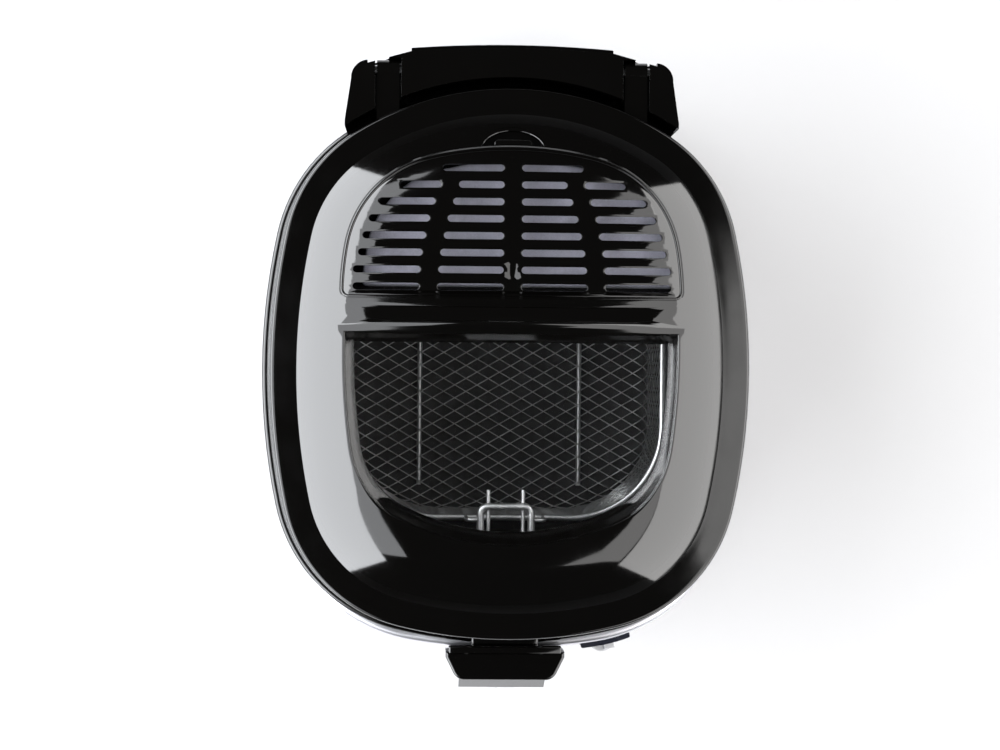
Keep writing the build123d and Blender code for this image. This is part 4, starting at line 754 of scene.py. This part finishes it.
def half_round(plan, grow, corner=0.0):
    """A closed loop with one straight edge and one rounded end, moved out by grow."""
    start = math.asin((corner - grow) / (plan.radii[0] + grow))
    points = end_points(plan, grow, start=start)
    edge = plan.straight_y - plan.sign * grow
    inner = plan.half_width + grow - corner
    turns = [math.pi / 2 * index / 5 for index in range(1, 6)] if corner > 0 else []
    arc = [(inner + corner * math.cos(t), edge + plan.sign * corner * (1 - math.sin(t))) for t in turns]
    return points + [Vector((-x, y)) for x, y in arc] + [Vector((x, y)) for x, y in reversed(arc)]


def half_moon(half, depth, count):
    """Points of the finger recess's arch, from its right to its left."""
    turns = spread(0.0, math.pi + 1e-9, count)
    return [Vector((half * math.cos(turn), VENT_REAR_Y + depth * math.sin(turn))) for turn in turns]


def well_loop(grow):
    """The filter well's outline with the finger recess at its rear, moved out by grow."""
    loop = half_round(VENT, grow, WELL_CORNER + grow)
    half = RECESS_HALF + grow
    cut = [i for i, spot in enumerate(loop) if abs(spot.x) < half + 1.2 and spot.y > VENT_REAR_Y - 8]
    arch = [spot for spot in half_moon(half, RECESS_DEPTH + grow, 28) if spot.y > VENT_REAR_Y + grow + 0.5]
    return loop[: cut[0]] + arch + loop[cut[-1] + 1 :]


def slot_loop(centre, y, length, grow):
    """A round-ended slot of the filter cover, moved out by grow."""
    radius = SLOT_RADIUS + grow
    reach = length / 2 - SLOT_RADIUS
    half = [Vector((reach + radius * math.sin(t), -radius * math.cos(t))) for t in spread(0, math.pi, 8)]
    half.append(Vector((reach, radius)))
    return [Vector((centre, y)) + spot for spot in half + [-spot for spot in half]]


def slot_places():
    """Centre, row and length of each slot, on both sides of the middle bar."""
    places = []
    for row, (near, far) in enumerate(zip(SLOTS_INNER, SLOTS_OUTER)):
        y = SLOT_FIRST_Y + SLOT_PITCH * row
        for side in (-1, 1):
            places.append((side * (SLOT_BAR / 2 + near / 2), y, near))
            if far:
                places.append((side * (SLOT_BAR * 1.5 + near + far / 2), y, far))
    return places


# ------------------------------------------------------------------ surfaces of the lid


class Outline:
    """A closed outline of the plan and the box round it."""

    def __init__(self, points):
        self.points = points
        self.low = (min(spot.x for spot in points), min(spot.y for spot in points))
        self.high = (max(spot.x for spot in points), max(spot.y for spot in points))

    def holds(self, spot):
        """Whether a point lies within the outline."""
        if not (self.low[0] < spot.x < self.high[0] and self.low[1] < spot.y < self.high[1]):
            return False
        within = False
        before = self.points[-1]
        for after in self.points:
            if (after.y > spot.y) != (before.y > spot.y):
                cross = before.x + (spot.y - before.y) * (after.x - before.x) / (after.y - before.y)
                within ^= spot.x < cross
            before = after
        return within


def round_drop(radius, distance):
    """How far a rounded edge has fallen at a distance from its brink."""
    return radius - math.sqrt(max(0.0, radius**2 - max(0.0, radius - distance) ** 2))


def crowned_sheet(form, outer, rims, fill):
    """Fill a plan with faces at the crown's height, with holes inside the rims.

    A rim is a list of loops with their distance from its brink, the brink first, and its edge radius.
    """
    spots, heights, edges = [], [], []

    def lay(loop, drop):
        start = len(spots)
        spots.extend(loop)
        heights.extend(crown_height(spot) - drop for spot in loop)
        edges.extend((start + i, start + (i + 1) % len(loop)) for i in range(len(loop)))

    lay(outer, 0.0)
    for loops, radius in rims:
        for loop, distance in loops:
            lay(loop, round_drop(radius, distance))
    spots.extend(fill)
    heights.extend(crown_height(spot) for spot in fill)
    laid, _, faces, origins, _, _ = delaunay_2d_cdt(spots, edges, [], 0, 1e-4)
    outline = Outline(outer)
    holes = [Outline(loops[0][0]) for loops, _ in rims if loops[0][0] is not outer]
    verts = {}
    for face in faces:
        middle = sum((laid[i] for i in face), Vector((0, 0))) / len(face)
        if not outline.holds(middle) or any(hole.holds(middle) for hole in holes):
            continue
        for index in face:
            if index not in verts:
                z = heights[origins[index][0]] if origins[index] else crown_height(laid[index])
                verts[index] = form.verts.new((laid[index].x * MM, laid[index].y * MM, z * MM))
        form.faces.new([verts[index] for index in face])


def loft(form, loops):
    """Bands of faces between closed loops of as many points; gives the first loop's vertices."""
    rings = [[form.verts.new(spot * MM) for spot in loop] for loop in loops]
    for upper, lower in zip(rings, rings[1:]):
        for index in range(len(upper)):
            after = (index + 1) % len(upper)
            form.faces.new((upper[index], lower[index], lower[after], upper[after]))
    return rings[0]


def raised(loop, heights):
    """A loop of the plan at its heights, or at one height."""
    if not isinstance(heights, list):
        heights = [heights] * len(loop)
    return [Vector((spot.x, spot.y, z)) for spot, z in zip(loop, heights)]


def closed_skin(form):
    """Join the parts of a skin where they meet, and turn its faces outwards."""
    bmesh.ops.remove_doubles(form, verts=form.verts, dist=0.004 * MM)
    bmesh.ops.recalc_face_normals(form, faces=form.faces)


@cache
def window_at(grow):
    """The window's loop moved out by grow."""
    return half_round(WINDOW, grow)


def window_loop(grows, extra=0.0):
    """The window's loop with its own distance out at each point."""
    return [window_at(round(grow + extra, 2))[index] for index, grow in enumerate(grows)]


def bevel_brink():
    """How far out the window's bevel meets the crown, at each point of its loop."""
    grows = []
    for index in range(len(window_at(0.0))):
        low, high = 3.0, 8.0
        for _ in range(12):
            grow = round((low + high) / 2, 3)
            bevel_z = LEDGE_Z + (LID_TOP - LEDGE_Z) * grow / BEVEL_WIDTH
            if bevel_z > crown_height(window_at(grow)[index]):
                high = grow
            else:
                low = grow
        grows.append((low + high) / 2)
    return grows


def lid_sides(form):
    """The lid's leaning wall, shoulder and flat band up to the crease, with the notch at the front."""
    wall = [(WALL_INSET + WALL_LEAN * (z - LID_FOOT_Z), z) for z in (186.0, 199.0, 212.0, NOTCH_TOP)]
    loft(form, [raised(case_ring(inset), z) for inset, z in FOOT + wall + SHOULDER + BAND])
    edge, top = (NOTCH_HALF + 0.8) * MM, (NOTCH_TOP + 0.1) * MM
    gone = [f for f in form.faces if all(abs(v.co.x) < edge and v.co.y < 0 and v.co.z < top for v in f.verts)]
    bmesh.ops.delete(form, geom=gone, context="FACES")


def crown_points(openings):
    """Loose points of the crown outside its openings: rings on the slope, a grid over the middle."""
    spots = []
    inset = CREASE_INSET + 0.5
    while inset < RINGS_END:
        spots += case_ring(inset)
        inset += CREASE_STEP if inset < CREASE_INSET + 2 else RING_STEP
    grid = [Vector((x * GRID_STEP, y * GRID_STEP)) for x in range(-24, 25) for y in range(-30, 34)]
    spots += [spot for spot in grid if inset_at(spot) >= RINGS_END]
    return [spot for spot in spots if not any(opening.holds(spot) for opening in openings)]


def window_bevel(form, grows):
    """The window's bevel down to its ledge, and the sill round the pane."""
    brink = window_loop(grows)
    tops = [crown_height(spot) - BRINK_ROUND for spot in brink]
    levels = [raised(brink, tops)]
    for share in (0.12, 0.5, 0.9):
        loop = window_loop([grow * (1 - share) for grow in grows])
        levels.append(raised(loop, [z + (LEDGE_Z + 0.2 - z) * share for z in tops]))
    levels += [raised(window_at(0.0), z) for z in (SILL_TOP, SILL_FOOT)]
    loft(form, levels)


def filter_well(form):
    """The wall of the filter's well, from its brink in the crown to its floor."""
    brink = well_loop(VENT_GAP)
    tops = [crown_height(spot) - BRINK_ROUND for spot in brink]
    loft(form, [raised(brink, tops), raised(brink, [z - 1.0 for z in tops]), raised(brink, WELL_FLOOR_Z)])


def recess_floor(form):
    """Floor of the finger recess, set into the filter well's wall."""
    half, depth = RECESS_HALF + 1.4, RECESS_DEPTH + 1.4
    plan = half_moon(half, depth, 24) + [Vector((-half, VENT_REAR_Y))]
    plan += [Vector((x, VENT_REAR_Y - 0.6)) for x in (-half, half)]
    top = [form.verts.new(spot * MM) for spot in raised(plan, RECESS_FLOOR_Z)]
    low = [form.verts.new(spot * MM) for spot in raised(plan, RECESS_FLOOR_Z - 2.0)]
    form.faces.new(top)
    form.faces.new(list(reversed(low)))
    for index, vert in enumerate(top):
        after = (index + 1) % len(top)
        form.faces.new((vert, low[index], low[after], top[after]))


def lid_skin():
    """The lid's outer skin: sides, crowned top, window bevel, filter well and finger recess."""
    form = bmesh.new()
    lid_sides(form)
    grows = bevel_brink()
    window_rim = [(window_loop(grows, step), step) for step in BRINK_STEPS]
    well_rim = [(well_loop(VENT_GAP + step), step) for step in BRINK_STEPS]
    openings = [Outline(window_loop(grows, BRINK_STEPS[-1] + 1.0)), Outline(well_loop(BRINK_STEPS[-1] + 1.7))]
    rims = [(window_rim, BRINK_ROUND), (well_rim, BRINK_ROUND)]
    crowned_sheet(form, case_ring(CREASE_INSET), rims, crown_points(openings))
    window_bevel(form, grows)
    filter_well(form)
    closed_skin(form)
    recess_floor(form)
    return form


def cover_skin():
    """The filter cover's top: crowned with the lid, with its rounded edge and slots."""
    form = bmesh.new()
    outer = half_round(VENT, 0.0, COVER_CORNER)
    edge = [(outer, 0.0)]
    edge += [(half_round(VENT, -step, COVER_CORNER - step), step) for step in (0.08, 0.25, 0.6, 1.4, 2.6)]
    rims = [(edge, 0.6)]
    for centre, y, length in slot_places():
        rims.append(([(slot_loop(centre, y, length, step), step) for step in (0.0, 0.08, 0.3)], 0.3))
    middle = Outline(half_round(VENT, -3.2, 0.4))
    slots = [Outline(slot_loop(centre, y, length, 0.9)) for centre, y, length in slot_places()]
    across, back = COVER_GRID
    first_y = VENT.straight_y + 1.2
    grid = [Vector((x * across, first_y + y * back)) for x in range(-44, 45) for y in range(34)]
    fill = [spot for spot in grid if middle.holds(spot) and not any(slot.holds(spot) for slot in slots)]
    crowned_sheet(form, outer, rims, fill)
    closed_skin(form)
    return form


def finger_tab():
    """The cover's tab, reaching into the recess just under the brink."""
    form = bmesh.new()
    front, rear, chamfer = VENT_REAR_Y - 1.6, VENT_REAR_Y + TAB_REACH, 1.4
    right = [(TAB_HALF, front), (TAB_HALF, rear - chamfer), (TAB_HALF - chamfer, rear)]
    plan = right + [(-x, y) for x, y in reversed(right)]
    base_z = (TAB_TOP - TAB_THICKNESS) * MM
    low = form.faces.new([form.verts.new((x * MM, y * MM, base_z)) for x, y in plan])
    made = bmesh.ops.extrude_face_region(form, geom=[low])
    lifted = [item for item in made["geom"] if isinstance(item, bmesh.types.BMVert)]
    bmesh.ops.translate(form, verts=lifted, vec=(0, 0, TAB_THICKNESS * MM))
    bmesh.ops.recalc_face_normals(form, faces=form.faces)
    sharp = [edge for edge in form.edges if edge.calc_face_angle(0) > 0.5]
    bmesh.ops.bevel(form, geom=sharp, offset=0.5 * MM, segments=3, affect="EDGES")
    return form


def thickened(name, form):
    """A skin as a piece with its wall, inwards from the outer face."""
    obj = mesh_piece(name, form)
    solid = obj.modifiers.new("wall", "SOLIDIFY")
    solid.thickness = LID_WALL * MM
    solid.offset = -1.0
    return obj


# ------------------------------------------------------------------ basket wire


def folded(point, flat_half, corner, bend, floor_z):
    """Where a point of the flat sheet of wire lies once it is pressed into the basket, and its inner side."""
    inner = Vector((flat_half.x - corner, flat_half.y - corner))
    nearest = Vector((max(-inner.x, min(inner.x, point.x)), max(-inner.y, min(inner.y, point.y))))
    away = point - nearest
    past = away.length - corner
    if past <= 0:
        return Vector((point.x, point.y, floor_z)), Vector((0, 0, 1))
    out = away.normalized()
    foot = nearest + out * corner
    if past < bend * math.pi / 2:
        turn = past / bend
        spot = foot + out * bend * math.sin(turn)
        side = -out * math.sin(turn)
        height = floor_z + bend * (1 - math.cos(turn))
        return Vector((spot.x, spot.y, height)), Vector((side.x, side.y, math.cos(turn)))
    spot = foot + out * bend
    return Vector((spot.x, spot.y, floor_z + bend + past - bend * math.pi / 2)), Vector((-out.x, -out.y, 0))


def basket_wires(sizes):
    """The crossing wires of the basket as lists of points, each woven over and under the others."""
    low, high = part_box("basket_mesh")
    centre = (low + high) / 2
    wall, floor_round, plan_corner = 1.2 * MM, 10 * MM, 52 * MM
    bend = floor_round - wall / 2
    corner = plan_corner - wall / 2 - bend
    flat_half = Vector((high.x - centre.x - wall / 2 - bend, high.y - centre.y - wall / 2 - bend))
    floor_z = low.z + wall / 2
    lift = wall / 2 - sizes.wire / 2
    step = (
        Vector((sizes.diamond_long / 2, sizes.diamond_short / 2)),
        Vector((sizes.diamond_long / 2, -sizes.diamond_short / 2)),
    )
    reach = 46
    wires = []
    for family in (0, 1):
        for row in range(-reach, reach + 1):
            run = []
            for half in range(-2 * reach, 2 * reach + 1):
                flat = step[family] * (half / 2) + step[1 - family] * row
                spot, side = folded(flat, flat_half, corner, bend, floor_z)
                if spot.z > high.z:
                    if run:
                        break
                    continue
                crossing = 0.0
                if half % 2 == 0:
                    crossing = 1.0 if (half // 2 + row + family) % 2 else -1.0
                run.append(spot + side * lift * crossing + Vector((centre.x, centre.y, 0)))
            if len(run) > 2:
                wires.append(run)
    return wires


def wire_curve(name, runs, radius, resolution=1):
    """One curve object with a round wire along each run of points."""
    curve = bpy.data.curves.new(name, "CURVE")
    curve.dimensions = "3D"
    curve.bevel_depth = radius
    curve.bevel_resolution = resolution
    curve.use_fill_caps = True
    for run in runs:
        spline = curve.splines.new("POLY")
        spline.points.add(len(run) - 1)
        for target, point in zip(spline.points, run):
            target.co = (*point, 1.0)
    return piece(name, curve)


# ------------------------------------------------------------------ filter mats


def top_outline(name):
    """The outline of a carried-over piece's top face, in order round it."""
    data = frame["nodes"][name].data
    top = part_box(name)[1].z - 0.05 * MM
    spots = {(round(v.co.x, 6), round(v.co.y, 6)) for v in data.vertices if v.co.z > top}
    middle = sum((Vector(s) for s in spots), Vector((0, 0))) / len(spots)
    return sorted((Vector(s) for s in spots), key=lambda s: math.atan2(s.y - middle.y, s.x - middle.x))


def mat_piece(name, voxel, lumps, grain):
    """A filter mat: cut from a sheet, with soft edges and an uneven, matted surface."""
    outline = top_outline(name)
    low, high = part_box(name)
    form = bmesh.new()
    bottom = [form.verts.new((spot.x, spot.y, low.z)) for spot in outline]
    top = [form.verts.new((spot.x, spot.y, high.z)) for spot in outline]
    form.faces.new(list(reversed(bottom)))
    form.faces.new(top)
    for index, vert in enumerate(bottom):
        after = (index + 1) % len(bottom)
        form.faces.new((vert, bottom[after], top[after], top[index]))
    obj = mesh_piece(name + "_cut", form)
    remesh = obj.modifiers.new("even_faces", "REMESH")
    remesh.mode = "VOXEL"
    remesh.voxel_size = voxel
    remesh.use_smooth_shade = True
    soften = obj.modifiers.new("soft_edges", "SMOOTH")
    soften.factor = 0.5
    soften.iterations = 6
    for label, size, depth in (("lumps", lumps, 1.0), ("grain", grain, 0.5)):
        cloud = bpy.data.textures.new(name + "_" + label, "CLOUDS")
        cloud.noise_scale = size
        cloud.noise_depth = 2
        push = obj.modifiers.new(label, "DISPLACE")
        push.texture = cloud
        push.texture_coords = "LOCAL"
        push.mid_level = 1.0
        push.strength = bpy.context.scene.fryer_sizes.fibre_depth * depth
    return stand_in(obj, name)


# ------------------------------------------------------------------ hood


def block(form, low, high, edge):
    """A box with rounded edges, from its low corner to its high corner, in millimetres."""
    made = bmesh.ops.create_cube(form, size=1.0)["verts"]
    bmesh.ops.scale(form, verts=made, vec=[(b - a) * MM for a, b in zip(low, high)])
    bmesh.ops.translate(form, verts=made, vec=[(a + b) / 2 * MM for a, b in zip(low, high)])
    edges = list({line for vert in made for line in vert.link_edges})
    bmesh.ops.bevel(form, geom=edges, offset=edge * MM, segments=3, profile=0.5, affect="EDGES")


def hood_sleeve():
    """The hood's ledge towards the lid, and the sleeve round the yoke's wires under the lid's notch."""
    form = bmesh.new()
    hood_y, ledge_y, sleeve_y = -150.5, -145.7, -137.5
    ledge_half, sleeve_half = 31.0, 18.2
    block(form, (-ledge_half, hood_y, 181.4), (ledge_half, ledge_y, 186.8), 1.2)
    block(form, (-sleeve_half, hood_y, 175.2), (sleeve_half, sleeve_y, 181.0), 1.0)
    obj = mesh_piece("hood_sleeve", form)
    obj.data.materials.append(finish(SLOT_OF["handle_bracket"]))
    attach(obj, BODY_OF["handle_bracket"])


# ------------------------------------------------------------------ studio

LAMP_AIM = Vector((0, 0, 0.2))
COOL = (0.95, 0.97, 1.0)
WARM = (1.0, 0.99, 0.98)


def softbox(name, place, size, watts, colour):
    """A soft rectangular lamp that faces the lid."""
    lamp = bpy.data.lights.new(name, "AREA")
    lamp.shape = "RECTANGLE"
    lamp.size, lamp.size_y = size
    lamp.energy = watts
    lamp.color = colour
    obj = piece(name, lamp)
    obj.location = place
    obj.rotation_euler = (LAMP_AIM - Vector(place)).to_track_quat("-Z", "Y").to_euler()
    obj.visible_camera = False


def studio_floor(colours):
    """A wide pale floor whose far edge turns up gently."""
    profile = [(0.4, 0.0), (0.9, 0.0), (1.6, 0.0), (2.4, 0.0)]
    profile += [(3.2, 0.06), (4.0, 0.24), (4.8, 0.55), (5.6, 1.0)]
    turns = spread(0.0, 2 * math.pi, 96)
    form = bmesh.new()
    rings = [[Vector((r * math.cos(t), r * math.sin(t), z)) / MM for t in turns] for r, z in profile]
    form.faces.new(loft(form, rings))
    floor = mesh_piece("studio_floor", form)
    material, tree, shader = blank("studio_paper", colours.floor, 0.7)
    polish = {"Polish_Low": 0.62, "Polish_High": 0.75}
    grain = effect(tree, "Moulded Skin", Grain_Scale=700.0, Grain_Depth=0.2, **polish)
    join(tree, grain.outputs["Roughness"], shader.inputs["Roughness"])
    floor.data.materials.append(material)


def studio_lamps():
    """A large soft lamp with a dim one above it on each side, and a dim room."""
    softbox("lamp_left", (-1.15, 0.0, 0.76), (3.3, 1.1), 92.0, COOL)
    softbox("lamp_right", (1.15, -0.12, 0.76), (3.0, 1.1), 42.0, WARM)
    softbox("lamp_left_high", (-0.69, 0.0, 1.39), (2.8, 0.5), 12.0, COOL)
    softbox("lamp_right_high", (0.69, -0.1, 1.39), (2.6, 0.5), 8.0, WARM)
    world = bpy.data.worlds.new("studio_room")
    world.use_nodes = True
    room = world.node_tree.nodes["Background"]
    room.inputs["Color"].default_value = (1.0, 1.0, 1.0, 1.0)
    room.inputs["Strength"].default_value = 0.025
    bpy.context.scene.world = world
    bpy.context.scene.view_settings.view_transform = "Standard"


def studio_camera(scene):
    """A long lens high above the lid, a little left of its middle."""
    camera = bpy.data.cameras.new("camera")
    camera.sensor_width = 36.0
    camera.lens = 83.3
    place = Vector((-0.048, 0.0023, 1.45))
    target = Vector((-0.0036, 0.0023, 0.172))
    forward = (target - place).normalized()
    right = forward.cross(Vector((0, 1, 0))).normalized()
    up = right.cross(forward)
    obj = piece("camera", camera)
    turned = Matrix((right, up, -forward)).transposed() @ Matrix.Rotation(math.radians(0.5), 3, "Z")
    obj.matrix_world = Matrix.Translation(place) @ turned.to_4x4()
    scene.camera = obj


# ------------------------------------------------------------------ operators


class FRYER_OT_body(bpy.types.Operator):
    """Finish the body wall, its rim, the base and the feet"""

    bl_idname = "fryer.body"
    bl_label = "Body and Base"

    def execute(self, context):
        clad("body_shell", "top_rim", "base_tray", "rubber_feet", "base_screws")
        return {"FINISHED"}


class FRYER_OT_housing(bpy.types.Operator):
    """Finish the hinge housing, its cover and what enters it"""

    bl_idname = "fryer.housing"
    bl_label = "Rear Housing"

    def execute(self, context):
        softened("rear_housing", 1.4 * MM)
        clad("rear_cover", "cover_screws", "cord_gland", "hinge_pins", "terminal_block")
        return {"FINISHED"}


class FRYER_OT_bowl(bpy.types.Operator):
    """Finish the oil bowl"""

    bl_idname = "fryer.bowl"
    bl_label = "Oil Bowl"

    def execute(self, context):
        clad("oil_bowl")
        return {"FINISHED"}


class FRYER_OT_heating(bpy.types.Operator):
    """Finish the element, the thermostat and the pilot lamp"""

    bl_idname = "fryer.heating"
    bl_label = "Heating and Thermostat"

    def execute(self, context):
        clad("heat_shield", "heat_spreader", "heating_element", "heater_terminals", "thermal_cutout")
        clad("thermostat_bulb", "thermostat_capillary", "thermostat_case", "pilot_lamp")
        return {"FINISHED"}


class FRYER_OT_control(bpy.types.Operator):
    """Finish the control plate, its slider and the pilot lens"""

    bl_idname = "fryer.control"
    bl_label = "Control"

    def execute(self, context):
        clad("control_bezel", "temperature_slider", "pilot_lens")
        return {"FINISHED"}


class FRYER_OT_lid(bpy.types.Operator):
    """Form the crowned lid and finish its hinge arms and screws"""

    bl_idname = "fryer.lid"
    bl_label = "Lid"

    def execute(self, context):
        stand_in(thickened("lid_moulding", lid_skin()), "lid_shell")
        clad("hinge_arms", "lid_screws")
        return {"FINISHED"}


class FRYER_OT_window(bpy.types.Operator):
    """Finish the window and its gasket"""

    bl_idname = "fryer.window"
    bl_label = "Window"

    def execute(self, context):
        clad("window_pane", "window_gasket")
        return {"FINISHED"}


class FRYER_OT_filter(bpy.types.Operator):
    """Form the slotted cover with its tab, and cut the two filter mats"""

    bl_idname = "fryer.filter"
    bl_label = "Filter"

    def execute(self, context):
        stand_in(thickened("slotted_cover", cover_skin()), "filter_cover")
        stand_in(mesh_piece("cover_tab", finger_tab()), "filter_cover")
        clad("filter_tray")
        fleece = mat_piece("fleece_filter", 1.5 * MM, 16 * MM, 2.4 * MM)
        charcoal = mat_piece("charcoal_filter", 1.8 * MM, 22 * MM, 3.2 * MM)
        return {"FINISHED"}


class FRYER_OT_underside(bpy.types.Operator):
    """Finish the liner and the seal under the lid"""

    bl_idname = "fryer.underside"
    bl_label = "Lid Underside"

    def execute(self, context):
        clad("lid_liner", "lid_seal")
        return {"FINISHED"}


class FRYER_OT_basket(bpy.types.Operator):
    """Weave the wire basket and finish its rim, feet, yoke and clips"""

    bl_idname = "fryer.basket"
    bl_label = "Basket"

    def execute(self, context):
        sizes = context.scene.fryer_sizes
        stand_in(wire_curve("basket_weave", basket_wires(sizes), sizes.wire / 2), "basket_mesh")
        clad("basket_rim", "basket_feet", "basket_yoke", "yoke_rods", "basket_clips")
        return {"FINISHED"}


class FRYER_OT_handle(bpy.types.Operator):
    """Finish the hood, the folding handle, its button and spring, and sleeve the wires"""

    bl_idname = "fryer.handle"
    bl_label = "Handle"

    def execute(self, context):
        clad("handle_bracket", "handle_pin", "handle_outer_shell", "handle_inner_shell")
        clad("handle_screws", "button_spring", "handle_button")
        hood_sleeve()
        return {"FINISHED"}


class FRYER_OT_studio(bpy.types.Operator):
    """Lay the floor, hang the lamps and set up the camera"""

    bl_idname = "fryer.studio"
    bl_label = "Studio"

    def execute(self, context):
        studio_floor(context.scene.fryer_colours)
        studio_lamps()
        studio_camera(context.scene)
        return {"FINISHED"}


OPERATORS = (
    FRYER_OT_body,
    FRYER_OT_housing,
    FRYER_OT_bowl,
    FRYER_OT_heating,
    FRYER_OT_control,
    FRYER_OT_lid,
    FRYER_OT_window,
    FRYER_OT_filter,
    FRYER_OT_underside,
    FRYER_OT_basket,
    FRYER_OT_handle,
    FRYER_OT_studio,
)


class FRYER_PT_panel(bpy.types.Panel):
    """The fryer's sizes, colours and building steps"""

    bl_idname = "FRYER_PT_panel"
    bl_label = "Deep Fryer"
    bl_space_type = "VIEW_3D"
    bl_region_type = "UI"
    bl_category = "Fryer"

    def draw(self, context):
        column = self.layout.column()
        for settings in (context.scene.fryer_sizes, context.scene.fryer_colours):
            for name in settings.__annotations__:
                column.prop(settings, name)
        for step in OPERATORS:
            column.operator(step.bl_idname)


def register():
    """Register the settings, the steps and the panel."""
    for cls in (FryerSizes, FryerColours, *OPERATORS, FRYER_PT_panel):
        bpy.utils.register_class(cls)
    bpy.types.Scene.fryer_sizes = bpy.props.PointerProperty(type=FryerSizes)
    bpy.types.Scene.fryer_colours = bpy.props.PointerProperty(type=FryerColours)


def unregister():
    """Take the settings, the steps and the panel away again."""
    del bpy.types.Scene.fryer_colours
    del bpy.types.Scene.fryer_sizes
    for cls in (FRYER_PT_panel, *reversed(OPERATORS), FryerColours, FryerSizes):
        bpy.utils.unregister_class(cls)


def main():
    """Build every piece and the studio."""
    register()
    for step in OPERATORS:
        family, action = step.bl_idname.split(".")
        getattr(getattr(bpy.ops, family), action)()


if __name__ == "__main__":
    main()
